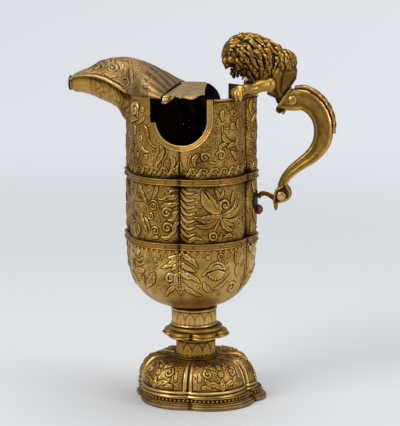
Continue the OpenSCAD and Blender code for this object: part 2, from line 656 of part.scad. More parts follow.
module upper_drum() {
    frame_r = cutout_r + cutout_moulding_w + gap;
    channel = lobe_r * 0.8;
    color("gold") translate([body_x, 0, 0]) difference() {
        union() {
            translate([0, 0, upper_drum_z]) lobed_wall(lobe_offset, lobe_r, wall, upper_drum_h);
            difference() {
                translate([0, 0, upper_drum_z])
                    drum_relief(upper_first_share, upper_second_share, upper_drum_h, wall / 2, upper_border_share);
                translate([-2 * body_r, -body_r * 0.55, rim_z - spout_drop - 2 * relief_h])
                    cube([body_r * 1.4, body_r * 1.1, 2 * spout_drop]);
            }
        }
        cutout_cutter(frame_r, -1);
        cutout_cutter(frame_r, 1);
        translate([-body_r - over, -channel / 2, rim_z - spout_drop * 0.6])
            cube([lobe_r, channel, spout_drop]);
    }
}

module rim_moulding() {
    frame_r = cutout_r + cutout_moulding_w + gap;
    color("goldenrod") translate([body_x, 0, 0]) difference() {
        translate([0, 0, rim_z - rim_h]) union() {
            lobed_wall(lobe_offset, lobe_r + gap + moulding_out, moulding_out, rim_h);
            translate([0, 0, rim_h * 0.7])
                lobed_wall(lobe_offset, lobe_r + gap + moulding_out * 1.5, moulding_out, rim_h * 0.3);
        }
        cutout_cutter(frame_r, -1);
        cutout_cutter(frame_r, 1);
        translate([-2 * body_r, -2 * body_r, rim_z - rim_h - over])
            cube([2 * body_r, 4 * body_r, rim_h + 2 * over]);
    }
}

// The raised frame of one side cut-out, a strip of wall thicker than the sheet
module cutout_frame(side) {
    difference() {
        intersection() {
            translate([0, 0, cutout_z - 2 * cutout_r])
                lobed_wall(lobe_offset, lobe_r + moulding_out, wall + moulding_out * 1.3,
                    2 * cutout_r + cutout_drop);
            cutout_cutter(cutout_r + cutout_moulding_w, side);
        }
        cutout_cutter(cutout_r, side);
    }
}

module near_cutout_moulding() {
    lost = cutout_moulding_w + 2 * over;
    color("gold") translate([body_x, 0, 0]) difference() {
        cutout_frame(-1);
        translate([cutout_x - cutout_r - cutout_moulding_w - over, -2 * body_r, cutout_z])
            cube([lost + over, 2 * body_r, cutout_drop + over]);
    }
}

module far_cutout_moulding() {
    color("gold") translate([body_x, 0, 0]) cutout_frame(1);
}

// Spout and cover

// Stations of the spout and hood: share of the reach, then crest, seam and floor as shares
// of the hood's height above (or the spout's drop below) the rim, then half width as a share
spout_share = [
    [1.000, 0.34, 0.24, 0.02, 0.085],
    [0.960, 0.47, 0.36, 0.12, 0.150],
    [0.900, 0.58, 0.42, 0.13, 0.215],
    [0.840, 0.66, 0.45, 0.18, 0.265],
    [0.755, 0.87, 0.43, 0.31, 0.330],
    [0.670, 0.95, 0.36, 0.43, 0.390],
    [0.590, 0.99, 0.22, 0.58, 0.440],
    [0.533, 0.99, 0.10, 0.96, 0.455]];

// The trough's last stations, which close its flanks against the wall
root_share = [[0.500, 0, 0, 0.96, 0.455], [0.420, 0, 0, 0.96, 0.455]];

// Stations of the hood over the mouth: share of the reach and crest height as a share
hood_share = [[0.500, 0.985], [0.420, 0.90], [0.340, 0.74], [0.260, 0.52], [0.190, 0.28], [0.150, 0.13]];

// Where a station stands: the trough's mouth is at the tip, its root always at the wall
function spout_x(share) =
    let (root = spout_share[len(spout_share) - 1][0])
    -body_r - (spout_reach - body_r) * (share - root) / (1 - root);

// Half width of the body's outline at x
function outline_y(x) =
    let (small = lobe_circle(lobe_offset, lobe_r, narrow_half),
         wide_x = abs(x) - lobe_offset * sin(narrow_half * 2), end_x = abs(x) - small[0],
         front = abs(wide_x) < lobe_r ?
             lobe_offset * cos(narrow_half * 2) + sqrt(pow(lobe_r, 2) - pow(wide_x, 2)) : 0,
         end = sqrt(max(0, pow(small[1], 2) - pow(end_x, 2))))
    max(front, end);

// Each hood station as [x, crest, edge, half width]
hood_stations = concat(
    [for (row = spout_share) [spout_x(row[0]), rim_z + row[1] * hood_h,
        rim_z + row[2] * hood_h, row[4] * body_r]],
    [for (row = hood_share) let (x = spout_x(row[0]))
        [x, rim_z + row[1] * hood_h, rim_z + gap,
            max(outline_y(x), spout_share[len(spout_share) - 1][4] * body_r)]]);

// One arched section of the hood, t inside its outer face
function hood_arch(station, t, steps) =
    [for (k = [0 : steps]) let (angle = -90 + 180 * k / steps)
        [station[0], (station[3] - t) * sin(angle),
         station[2] + (station[1] - station[2] - t) * pow(max(0, cos(angle)), 0.85)]];

// One U-shaped section of the trough, t inside its outer face
function trough_arch(row, t, steps) =
    let (seam = rim_z + row[2] * hood_h - gap, low = rim_z - row[3] * spout_drop + t)
    [for (k = [0 : steps]) let (angle = -90 + 180 * k / steps)
        [spout_x(row[0]), (row[4] * body_r - t) * sin(angle),
         seam - (seam - low) * pow(max(0, cos(angle)), 0.8)]];

module spout_hood() {
    steps = 16;
    color("goldenrod") translate([body_x, 0, 0])
        sheet([for (station = hood_stations) hood_arch(station, 0, steps)],
            [for (station = hood_stations) hood_arch(station, spout_wall, steps)]);
}

module spout_trough() {
    steps = 14;
    stations = concat(spout_share, root_share);
    color("gold") translate([body_x, 0, 0]) difference() {
        sheet([for (row = stations) trough_arch(row, spout_wall, steps)],
            [for (row = stations) trough_arch(row, 0, steps)]);
        translate([0, 0, rim_z - 2 * spout_drop]) linear_extrude(4 * spout_drop)
            lobed(lobe_offset, lobe_r + gap, 48);
    }
}

// The cover plate's outline: the ragged near edge, then the far one. Each row holds x as a share
// of the plate's length and y as a share of the body's radius
plate_share = [[0, -0.86], [0.16, -0.80], [0.26, -0.68], [0.36, -0.64], [0.46, -0.70], [0.60, -0.66],
    [0.72, -0.71], [0.84, -0.69], [1.00, -0.70], [1.14, -0.68], [1.30, -0.66], [1.48, -0.62],
    [1.19, 0], [0.95, 0.70], [0.86, 0.86], [0, 0.86]];

module cover_plate() {
    back = hood_stations[len(hood_stations) - 1][0] + gap;
    plate_l = cutout_r + cutout_x + gap;
    color("goldenrod") translate([body_x, 0, rim_z + gap]) linear_extrude(spout_wall)
        polygon([for (row = plate_share) [back + row[0] * plate_l, row[1] * body_r]]);
}

module far_ear() {
    ear_r = cutout_r * 0.86;
    ear_x = cutout_x - cutout_r * 0.14;
    color("saddlebrown") translate([body_x, 0, 0]) intersection() {
        translate([0, 0, cutout_z - cutout_r - wall])
            lobed_wall(lobe_offset, lobe_r - wall - moulding_out, spout_wall, cutout_r + wall + cutout_drop);
        translate([ear_x, 0, cutout_z]) {
            rotate([-90, 0, 0]) cylinder(r = ear_r, h = body_r, $fn = 96);
            intersection() {
                translate([cutout_x - ear_x, 0, 0]) rotate([-90, 0, 0])
                    cylinder(r = cutout_r + wall, h = body_r, $fn = 96);
                translate([-body_r, 0, -body_r]) cube([2 * body_r, body_r, body_r]);
            }
            translate([-ear_r, 0, 0]) cube([ear_r * 1.3, body_r, cutout_drop]);
        }
    }
}

module spout_tip_ring() {
    tip = spout_share[0];
    middle_z = rim_z + (tip[1] * hood_h - tip[3] * spout_drop) / 2;
    color("goldenrod") translate([body_x - spout_reach - gap, 0, middle_z]) rotate([0, -90, 0])
        difference() {
            cylinder(r = tip_r, h = spout_wall, $fn = 64);
            translate([0, 0, -over]) cylinder(r = tip_r * 0.62, h = spout_wall + 2 * over, $fn = 64);
        }
}

// Handle

// The bar's middle line from the collar over the arch to the lower scroll. Each row holds
// x back from the handle's reach and z above the scroll as shares, then the bar's depth as a share
bar_share = [
    [0.493, 0.903, 1.05],
    [0.381, 0.905, 1.03],
    [0.270, 0.860, 0.99],
    [0.182, 0.790, 0.95],
    [0.130, 0.700, 0.93],
    [0.119, 0.610, 0.90],
    [0.138, 0.525, 0.86],
    [0.195, 0.445, 0.77],
    [0.288, 0.370, 0.67],
    [0.400, 0.310, 0.58],
    [0.506, 0.250, 0.52],
    [0.592, 0.185, 0.46],
    [0.642, 0.120, 0.43],
    [0.662, 0.075, 0.40]];

function bar_point(u) = let (row = curve_at(bar_share, u))
    [handle_reach - handle_out * row[0], scroll_z + handle_h * row[1], row[2]];

// The slanting joint where the bar's flared end takes the lion's hindquarters
handle_reach = body_r + handle_out;
joint_x = handle_reach - handle_out * 0.61;
joint_z = scroll_z + handle_h * 0.903;
joint_tilt = 34;
joint_t = bar_t * 1.12;
curl_r = bar_t * 0.24;
pin_r = scroll_r * 0.5;
pin_x = joint_x + pin_r * 1.45;

module at_joint() {
    translate([joint_x, 0, joint_z]) rotate([0, joint_tilt, 0]) children();
}

// The rolled lip below the joint, w wide and grown by extra
module end_curl(extra, w) {
    at_joint() translate([curl_r * 0.2, w / 2, -joint_t * 0.5]) rotate([90, 0, 0])
        cylinder(r = curl_r + extra, h = w, $fn = 48);
}

module handle_bar() {
    steps = 28;
    last = len(bar_share) - 1;
    first = oval_ring([joint_x, joint_z], [cos(joint_tilt), -sin(joint_tilt)], joint_t, bar_w * 1.05, 20);
    color("goldenrod") translate([body_x, 0, 0]) difference() {
        union() {
            loft(concat([first], [for (k = [0 : steps]) let (u = last * k / steps, here = bar_point(u),
                ahead = bar_point(min(last, u + 0.1)), behind = bar_point(max(0, u - 0.1)),
                way = [ahead[0] - behind[0], ahead[1] - behind[1]], dir = way / norm(way),
                w = bar_w * (0.42 + 0.58 * here[2]))
                oval_ring([here[0], here[1]], dir, bar_t * here[2], w, 20)]));
            end_curl(0, bar_w * 0.6);
        }
        translate([pin_x, bar_w, joint_z]) rotate([90, 0, 0])
            cylinder(r = pin_r + gap, h = 2 * bar_w, $fn = 40);
        scroll_solid(gap, 2 * bar_w);
    }
}

module handle_leaf() {
    steps = 14;
    span = 5;
    leaf_t = bar_t * 0.2;
    color("darkgoldenrod") translate([body_x, 0, 0]) loft(
        [for (k = [0 : steps]) let (u = 0.1 + span * k / steps, here = bar_point(u),
            ahead = bar_point(u + 0.1), behind = bar_point(max(0, u - 0.1)),
            way = [ahead[0] - behind[0], ahead[1] - behind[1]], dir = way / norm(way),
            swell = sin(180 * (0.12 + 0.8 * k / steps)),
            out = bar_t * here[2] / 2 + leaf_t * (0.25 + 0.2 * swell))
            oval_ring([here[0] - dir[1] * out, here[1] + dir[0] * out], dir,
                leaf_t * (0.3 + 0.5 * swell), bar_w * (0.3 + 0.35 * swell), 12)]);
}

collar_t = 3;

// The outline of the oval collar, grown by extra
module collar_outline(extra) {
    r = bar_w * 0.54 + extra;
    half = joint_t / 2 - bar_w * 0.54;
    for (side = [-1, 1]) translate([side * half, 0]) circle(r = r);
    translate([-half, -r]) square([2 * half, 2 * r]);
}

module handle_collar() {
    color("gold") translate([body_x, 0, 0]) difference() {
        at_joint() translate([-collar_t - gap, 0, 0]) rotate([0, 90, 0]) {
            linear_extrude(collar_t) collar_outline(0);
            linear_extrude(collar_t / 2) collar_outline(collar_t / 4);
        }
        end_curl(gap, 2 * bar_w);
    }
}

module handle_pin() {
    pin_w = bar_w + tendril_t * 0.8;
    color("gold") translate([body_x + pin_x, pin_w / 2, joint_z]) rotate([90, 0, 0])
        cylinder(r = pin_r, h = pin_w, $fn = 40);
}

scroll_x = handle_reach - handle_out * 0.66;

// Side outline of the curl at the bar's lower end, in shares of the scroll's radius
scroll_share = [[-0.66, -1.05], [-0.84, -0.82], [-0.86, -0.30], [-0.76, 0.30], [-0.58, 0.72], [-0.10, 1.00],
    [0.24, 1.24], [0.41, 1.60], [0.50, 1.38], [0.66, 1.06], [0.90, 0.74], [1.02, 0.28], [0.96, -0.14],
    [0.66, -0.48], [0.08, -0.72], [-0.40, -0.88]];

// The curl as an upright prism w wide, grown by extra
module scroll_solid(extra, w) {
    translate([scroll_x, w / 2, scroll_z]) rotate([90, 0, 0]) linear_extrude(w) offset(delta = extra)
        polygon([for (spot = scroll_share) scroll_r * spot]);
}

module lower_scroll() {
    color("goldenrod") translate([body_x, 0, 0]) scroll_solid(0, bar_w * 0.72);
}

module lower_roundels() {
    roundel_t = tendril_t * 0.4;
    color("gold") translate([body_x + scroll_x, 0, scroll_z])
        for (side = [-1, 1])
            translate([0, side * (bar_w * 0.36 + gap + roundel_t / 2) + roundel_t / 2, 0])
                rotate([90, 0, 0]) cylinder(r = scroll_r * 0.55, h = roundel_t, $fn = 40);
}

// The tendril's middle line: x as a share of the way from the body to the scroll, z as a share
// of the scroll's radius below or above its centre
tendril_share = [[0.00, -0.25], [0.20, 0.10], [0.45, 0.16], [0.70, -0.02], [1.00, -0.42]];

module handle_tendril() {
    steps = 12;
    last = len(tendril_share) - 1;
    near_x = body_r + leaf_t + gap;
    far_x = scroll_x - scroll_r * 0.7;
    function spot(u) = let (row = curve_at(tendril_share, u))
        [near_x + (far_x - near_x) * row[0], scroll_z + scroll_r * row[1]];
    color("goldenrod") translate([body_x, 0, 0]) difference() {
        loft([for (k = [0 : steps]) let (u = last * k / steps, here = spot(u),
            ahead = spot(min(last, u + 0.1)), behind = spot(max(0, u - 0.1)),
            way = ahead - behind, dir = way / norm(way))
            oval_ring(here, dir, tendril_t, tendril_t, 12)]);
        scroll_solid(gap, 2 * bar_w);
    }
}

module scroll_drop() {
    drop_r = tendril_t * 0.55;
    color("darkgoldenrod") translate([body_x, 0, 0]) difference() {
        translate([scroll_x - scroll_r * 0.62, 0, scroll_z - scroll_r * 1.16]) union() {
            sphere(r = drop_r, $fn = 32);
            translate([0, 0, -drop_r * 2]) cylinder(r1 = drop_r * 0.3, r2 = drop_r * 0.85, h = 2 * drop_r);
        }
        scroll_solid(gap, 2 * bar_w);
    }
}

leaf_t = 1.8;
leaf_top = scroll_z + scroll_r * 0.5;
leaf_low = leaf_top - scroll_r * 2.6;

// Outline of the leaf plate, half width and height as shares of the plate
leaf_share = [[0, 0], [0.5, 0.12], [0.75, 0.3], [1, 0.5], [0.95, 0.7], [0.6, 0.9], [0, 1],
    [-0.6, 0.9], [-0.95, 0.7], [-1, 0.5], [-0.75, 0.3], [-0.5, 0.12]];

module leaf_plate() {
    leaf_w = scroll_r * 1.2;
    color("saddlebrown") translate([body_x, 0, 0]) difference() {
        intersection() {
            translate([0, 0, leaf_low])
                lobed_wall(lobe_offset, lobe_r + gap + leaf_t, leaf_t, leaf_top - leaf_low);
            translate([0, 0, leaf_low]) rotate([90, 0, 90]) linear_extrude(2 * body_r)
                polygon([for (row = leaf_share) [row[0] * leaf_w, row[1] * (leaf_top - leaf_low)]]);
        }
    }
}

module leaf_berry() {
    berry_r = leaf_t * 2.6;
    berry_x = body_r + leaf_t + gap * 2;
    color("saddlebrown") translate([body_x, 0, 0]) intersection() {
        translate([berry_x, 0, leaf_low + berry_r * 0.9]) sphere(r = berry_r, $fn = 48);
        translate([berry_x, -2 * berry_r, leaf_low - 2 * berry_r])
            cube([2 * berry_r, 4 * berry_r, 4 * berry_r]);
    }
}

// Lion, with every place given from the head's centre

head_at = [joint_x - lion_head_r * 3.68, 0, joint_z + lion_h - lion_head_r * 1.58];
rump_at = head_at + [lion_head_r * 3.55, 0, -lion_head_r * 0.36];
haunch_at = [joint_x - collar_t, 0, joint_z + lion_head_r * 0.52];
belly_at = head_at + [lion_head_r * 2.7, 0, -lion_head_r * 2.55];
shoulder_at = head_at + [lion_head_r * 2.15, 0, -lion_head_r * 1.85];

module ball(at, r, fn = 24) {
    translate(at) sphere(r = r, $fn = fn);
}

// The mane's masses: place from the head's centre and radius, as shares of the head's radius
mane_share = [[0.16, 0.58, 1], [0.97, 0.09, 1.40], [2.26, -0.35, 1.32], [2.2, -1.3, 1.1]];

module mane_solid(grow = 0) {
    hull() for (row = mane_share)
        ball(head_at + [row[0] * lion_head_r, 0, row[1] * lion_head_r], row[2] * lion_head_r + grow);
}

module lion_mane() {
    color("darkgoldenrod") translate([body_x, 0, 0]) difference() {
        mane_solid();
        translate([0, 0, rim_z - body_r]) linear_extrude(body_r + 2 * gap)
            lobed(lobe_offset, lobe_r + 1.6 * moulding_out + 2 * gap, 60);
    }
}

module lion_head() {
    brow_r = lion_head_r * 0.8;
    muzzle_r = lion_head_r * 0.52;
    color("goldenrod") translate([body_x, 0, 0]) difference() {
        union() {
            ball(head_at, lion_head_r, 32);
            hull() {
                ball(head_at + [-brow_r * 0.25, 0, -brow_r * 0.1], brow_r * 0.8);
                ball(head_at + [-lion_head_r * 0.52, 0, -lion_head_r * 0.68], muzzle_r);
            }
        }
        mane_solid(gap);
    }
}

module lion_jaw() {
    jaw_r = lion_head_r * 0.3;
    color("saddlebrown") translate([body_x, 0, 0]) difference() {
        hull() {
            ball(head_at + [-lion_head_r * 0.2, 0, -lion_head_r * 1.42], jaw_r);
            ball(head_at + [lion_head_r * 0.6, 0, -lion_head_r * 1.05], jaw_r * 1.2);
        }
        mane_solid(gap);
        ball(head_at, lion_head_r + gap, 32);
    }
}

module torso_solid(grow = 0) {
    rump_r = lion_head_r * 0.9;
    hull() {
        ball(rump_at, rump_r + grow);
        ball(rump_at + [rump_r * 0.25, 0, -rump_r * 0.9], rump_r * 0.95 + grow);
        ball(haunch_at, rump_r * 0.8 + grow);
        ball([joint_x + joint_t * 0.12, 0, joint_z + joint_t * 0.36], rump_r * 0.5 + grow);
    }
    hull() {
        ball(haunch_at, rump_r * 0.78 + grow);
        ball(belly_at, rump_r * 0.64 + grow);
        ball(shoulder_at + [rump_r * 0.7, 0, 0], rump_r * 0.5 + grow);
    }
}

module lion_torso() {
    color("goldenrod") translate([body_x, 0, 0]) difference() {
        torso_solid();
        mane_solid(gap);
        at_joint() translate([-collar_t - 2 * gap, -bar_t, -2 * bar_t]) cube([2 * bar_t, 2 * bar_t, 4 * bar_t]);
    }
}

// One foreleg from its shoulder to the paw on the rim; side is -1 for the near leg
module foreleg(side) {
    leg_r = lion_head_r * 0.42;
    paw_r = lion_head_r * 0.5;
    paw_turn = asin(paw_spread / body_r) - lobe_plan[1][0];
    paw_reach = lobe_offset * cos(paw_turn) + sqrt(pow(lobe_r, 2) - pow(lobe_offset * sin(paw_turn), 2))
        + 1.6 * moulding_out;
    paw_at = [sqrt(pow(paw_reach, 2) - pow(paw_spread, 2)), side * paw_spread, rim_z];
    knuckle_at = paw_at + [0, -side * paw_r * 0.3, paw_r];
    elbow_at = [shoulder_at[0] - leg_r * 1.6, side * paw_spread * 0.66, rim_z + leg_r * 1.3];
    hip_at = [shoulder_at[0] + leg_r, side * lion_head_r * 0.95, shoulder_at[2] - leg_r * 0.5];
    difference() {
        union() {
            hull() {
                ball(hip_at, leg_r * 1.25);
                ball(elbow_at, leg_r);
            }
            hull() {
                ball(elbow_at, leg_r);
                ball(knuckle_at, paw_r * 0.75);
                ball(paw_at, paw_r * 0.8);
            }
        }
        mane_solid(gap);
        torso_solid(gap);
        translate([0, 0, rim_z - 2 * paw_r]) linear_extrude(2 * paw_r)
            lobed(lobe_offset, lobe_r + 1.6 * moulding_out + 2 * gap, 60);
    }
}

module lion_foreleg_near() {
    color("gold") translate([body_x, 0, 0]) foreleg(-1);
}

module lion_foreleg_far() {
    color("gold") translate([body_x, 0, 0]) foreleg(1);
}

// Fastening inside

disc_h = 2.4;
bolt_head_h = 2.6;
washer_h = 1.6;
nut_h = 5;
bolt_low = dome_top - foot_wall - washer_h - nut_h - over;

module tie_bolt() {
    color("dimgray") translate([lower_stem_x, 0, 0]) union() {
        translate([0, 0, bolt_low]) cylinder(r = bolt_r, h = bowl_z + wall + disc_h - bolt_low);
        translate([0, 0, bowl_z + wall + disc_h]) cylinder(r = 2 * bolt_r, h = bolt_head_h);
    }
}

module bowl_disc() {
    color("darkgoldenrod") translate([lower_stem_x, 0, bowl_z + wall]) difference() {
        cylinder(r = disc_r, h = disc_h, $fn = 64);
        translate([0, 0, -over]) cylinder(r = bolt_r + gap, h = disc_h + 2 * over);
    }
}

module foot_washer() {
    color("dimgray") translate([lower_stem_x, 0, dome_top - foot_wall - washer_h]) difference() {
        cylinder(r = nut_w * 0.9, h = washer_h);
        translate([0, 0, -over]) cylinder(r = bolt_r + gap, h = washer_h + 2 * over);
    }
}

module tie_nut() {
    color("dimgray") translate([lower_stem_x, 0, dome_top - foot_wall - washer_h - nut_h]) difference() {
        cylinder(d = nut_w / cos(180 / 6), h = nut_h, $fn = 6);
        translate([0, 0, -over]) cylinder(r = bolt_r + gap / 4, h = nut_h + 2 * over);
    }
}

base_flange();
foot_gallery();
gallery_pearls();
foot_dome();
foot_collar();
lower_stem();
calyx_flange();
stem_ring();
upper_stem();
neck_washer();
bowl();
lower_band();
lower_band_fringe();
lower_band_rivets();
middle_drum();
upper_band();
upper_band_rivets();
upper_drum();
rim_moulding();
near_cutout_moulding();
far_cutout_moulding();
spout_trough();
spout_hood();
cover_plate();
far_ear();
spout_tip_ring();
handle_bar();
handle_leaf();
handle_collar();
handle_pin();
lower_scroll();
lower_roundels();
handle_tendril();
scroll_drop();
leaf_plate();
leaf_berry();
lion_torso();
lion_mane();
lion_head();
lion_jaw();
lion_foreleg_near();
lion_foreleg_far();
tie_bolt();
bowl_disc();
foot_washer();
tie_nut();
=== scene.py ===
# A covered ewer of chased gilt sheet with a cast handle and a lion, dressed over its CAD frame.
# Sizes are written in millimetres in the frame's axes and turned into metres as each mesh is made.
import json
import math
import bpy
import numpy as np
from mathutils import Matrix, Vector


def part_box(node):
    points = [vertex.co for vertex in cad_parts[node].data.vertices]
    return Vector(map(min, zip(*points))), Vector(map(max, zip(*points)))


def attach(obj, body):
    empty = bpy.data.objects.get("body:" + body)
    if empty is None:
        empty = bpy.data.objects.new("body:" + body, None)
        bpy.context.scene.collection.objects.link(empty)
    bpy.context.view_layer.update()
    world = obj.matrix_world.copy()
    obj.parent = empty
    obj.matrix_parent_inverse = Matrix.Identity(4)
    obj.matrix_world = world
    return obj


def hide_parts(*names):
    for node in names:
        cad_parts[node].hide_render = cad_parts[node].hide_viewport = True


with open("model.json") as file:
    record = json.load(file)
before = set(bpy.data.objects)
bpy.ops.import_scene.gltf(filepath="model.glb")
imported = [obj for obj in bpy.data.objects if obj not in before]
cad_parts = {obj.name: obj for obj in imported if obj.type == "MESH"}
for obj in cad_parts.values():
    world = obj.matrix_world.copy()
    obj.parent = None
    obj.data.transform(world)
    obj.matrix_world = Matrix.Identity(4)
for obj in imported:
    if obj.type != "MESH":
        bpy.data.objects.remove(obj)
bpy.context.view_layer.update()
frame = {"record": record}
mm = 0.001
tau = 2 * math.pi
scene = bpy.context.scene


def boxOf(node):
    low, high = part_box(node)
    return np.array(low) / mm, np.array(high) / mm


# What the storeys share: lobed outlines about axes that lean a little towards the spout
ewer = {
    "bodyX": -9.4, "lobeOffset": 16.0, "lobeR": 44.4, "sheet": 1.5,
    "footOffset": 18.5, "flangeR": 43.0, "galleryR": 38.6, "galleryX": -1.0, "domeX": -3.6,
    "lowerStemX": -5.3, "upperStemX": -7.0,
}
# each lobe's turn and half its share of the round: four wide ones, and a narrow one at the
# handle and at the spout
wideHalf, narrowHalf = math.radians(36), math.radians(18)
lobePlan = [(math.radians(turn), narrowHalf if turn % 180 == 0 else wideHalf)
            for turn in (0, 54, 126, 180, 234, 306)]


# Camera, floor and lamps

camera = {"azimuth": 10.7, "pitch": 11.3, "distance": 2050.0, "targetX": 7.95, "targetZ": 173.0,
          "focalPixels": 2217.0, "imageHeight": 426, "sensor": 36.0, "sight": 100}


def placeCamera():
    turn, pitch = math.radians(camera["azimuth"]), math.radians(camera["pitch"])
    across = np.array([math.cos(turn), math.sin(turn), 0])
    away = np.array([-math.sin(turn), math.cos(turn), 0])
    target = across * camera["targetX"] + np.array([ewer["bodyX"], 0, camera["targetZ"]])
    spot = target - away * camera["distance"] * math.cos(pitch)
    spot[2] += camera["distance"] * math.sin(pitch)
    data = bpy.data.cameras.new("photoCamera")
    data.sensor_fit = "VERTICAL"
    data.sensor_height = camera["sensor"]
    data.lens = camera["sensor"] * camera["focalPixels"] / camera["imageHeight"]
    data.clip_end = camera["sight"]
    eye = bpy.data.objects.new("photoCamera", data)
    eye.location = spot * mm
    eye.rotation_euler = (math.pi / 2 - pitch, 0, turn)
    scene.collection.objects.link(eye)
    scene.camera = eye


lamps = {  # name: (place in metres, aim in metres, width, height, watts, colour)
    "keySoftbox": ((-1.3, -1.5, 1.5), (0, 0, 0.17), 1.3, 1.3, 30, (1.0, 0.98, 0.95)),
    "topSoftbox": ((0.2, 0.3, 2.0), (0, 0, 0.2), 1.6, 1.6, 26, (1.0, 1.0, 1.0)),
    "rightSoftbox": ((1.7, -0.5, 0.9), (0, 0, 0.2), 0.5, 1.4, 9, (0.95, 0.98, 1.0)),
}
skyLook = {"Color": (0.86, 0.92, 1.0, 1), "Strength": 0.42}


def placeLamps():
    for name, (spot, aim, width, height, watts, tint) in lamps.items():
        data = bpy.data.lights.new(name, "AREA")
        data.shape = "RECTANGLE"
        data.size, data.size_y, data.energy, data.color = width, height, watts, tint
        lamp = bpy.data.objects.new(name, data)
        lamp.location = spot
        way = np.array(aim) - np.array(spot)
        flat = math.hypot(way[0], way[1])
        lamp.rotation_euler = (math.atan2(flat, -way[2]), 0, math.atan2(way[1], way[0]) - math.pi / 2)
        scene.collection.objects.link(lamp)
    world = bpy.data.worlds.new("studioWorld")
    world.use_nodes = True
    wire(world.node_tree, world.node_tree.nodes["Background"], skyLook)
    scene.world = world


# Sets a shader node's inputs: plain values, or (node, output) pairs to link from
def wire(tree, node, inputs):
    for key, value in inputs.items():
        if isinstance(value, tuple) and isinstance(value[0], bpy.types.Node):
            tree.links.new(value[0].outputs[value[1]], node.inputs[key])
        else:
            node.inputs[key].default_value = value


def addNode(tree, kind, inputs, **settings):
    node = tree.nodes.new("ShaderNode" + kind)
    for key, value in settings.items():
        setattr(node, key, value)
    wire(tree, node, inputs)
    return node


def newMaterial(name):
    material = bpy.data.materials.new(name)
    material.use_nodes = True
    tree = material.node_tree
    return material, tree, tree.nodes["Principled BSDF"]


floorLook = {"colour": (0.63, 0.635, 0.64, 1), "rough": 0.9, "shine": 0.2, "half": 12.0,
             "near": 0.45, "far": 1.5, "backdropLeft": (0.675, 0.70, 0.74, 1),
             "backdropRight": (0.80, 0.825, 0.86, 1), "leftX": -1.6, "rightX": 0.6}


def layFloor():
    half = floorLook["half"]
    mesh = bpy.data.meshes.new("tableTop")
    mesh.from_pydata([(-half, -half, 0), (half, -half, 0), (half, half, 0), (-half, half, 0)], [],
                     [(0, 1, 2, 3)])
    floor = bpy.data.objects.new("tableTop", mesh)
    scene.collection.objects.link(floor)
    material, tree, shader = newMaterial("paleFloor")
    wire(tree, shader, {"Roughness": floorLook["rough"], "Specular IOR Level": floorLook["shine"],
                        "Base Color": floorLook["colour"]})
    # far away the camera sees a glowing backdrop, painted darker on the left and lighter on the right; all
    # other rays still meet the floor itself
    place = addNode(tree, "TexCoord", {})
    reach = addNode(tree, "VectorMath", {0: (place, "Object")}, operation="LENGTH")
    faded = addNode(tree, "MapRange", {"From Min": floorLook["near"], "From Max": floorLook["far"],
                                       "Value": (reach, "Value")}, interpolation_type="SMOOTHSTEP")
    seen = addNode(tree, "LightPath", {})
    share = addNode(tree, "Math", {0: (faded, "Result"), 1: (seen, "Is Camera Ray")}, operation="MULTIPLY")
    axes = addNode(tree, "SeparateXYZ", {"Vector": (place, "Object")})
    across = addNode(tree, "MapRange", {"From Min": floorLook["leftX"], "From Max": floorLook["rightX"],
                                        "Value": (axes, "X")})
    tint = addNode(tree, "Mix", {"A": floorLook["backdropLeft"], "B": floorLook["backdropRight"],
                                 "Factor": (across, "Result")}, data_type="RGBA")
    backdrop = addNode(tree, "Emission", {"Color": (tint, "Result")})
    blend = addNode(tree, "MixShader", {"Fac": (share, "Value"), 1: (shader, "BSDF"),
                                        2: (backdrop, "Emission")})
    wire(tree, tree.nodes["Material Output"], {"Surface": (blend, "Shader")})
    floor.data.materials.append(material)


placeCamera()
placeLamps()
layFloor()
scene.view_settings.view_transform = "Standard"
print("camera, lamps and floor are set")


# Finishes. Each metal reads the mesh's own tone: 0 in the hollows and in painted shade, 1 on the rubbed tops

metalLook = {"cloudDetail": 5, "grainScale": 900, "grainDetail": 3, "scuff": 0.16, "bump": 0.25,
             "bumpDepth": 0.0002}
golds = ((0.012, 0.007, 0.003), (0.095, 0.046, 0.012), (0.33, 0.178, 0.034), (0.52, 0.305, 0.070),
         (0.70, 0.47, 0.17))
bronzes = ((0.02, 0.012, 0.007), (0.12, 0.066, 0.024), (0.29, 0.172, 0.060), (0.60, 0.42, 0.18))
patinas = ((0.008, 0.006, 0.004), (0.045, 0.026, 0.012), (0.20, 0.11, 0.04))
irons = ((0.03, 0.028, 0.026), (0.16, 0.15, 0.14))
# slot: (name, tones, their colours, roughness in the hollows and on the tops, cloudiness, its scale)
metals = {
    "gilt_chased": ("chasedGilding", (0.08, 0.34, 0.56, 0.78, 0.97), golds, 0.60, 0.22, 0.42, 48),
    "gilt_bright": ("rubbedGilding", (0.08, 0.30, 0.48, 0.72, 0.94), golds, 0.50, 0.18, 0.30, 70),
    "gilt_dark": ("thinGilding", (0.12, 0.42, 0.68, 0.95), golds, 0.58, 0.28, 0.46, 70),
    "gilt_cast": ("castGilding", (0.14, 0.42, 0.66, 0.86, 0.99), golds, 0.54, 0.18, 0.20, 70),
    "bronze_matte": ("brownBronze", (0.10, 0.42, 0.66, 0.92), bronzes, 0.62, 0.34, 0.44, 70),
    "dark_patina": ("darkPatina", (0.15, 0.55, 0.90), patinas, 0.62, 0.32, 0.40, 70),
    "iron": ("darkIron", (0.2, 0.8), irons, 0.6, 0.4, 0.5, 70),
}


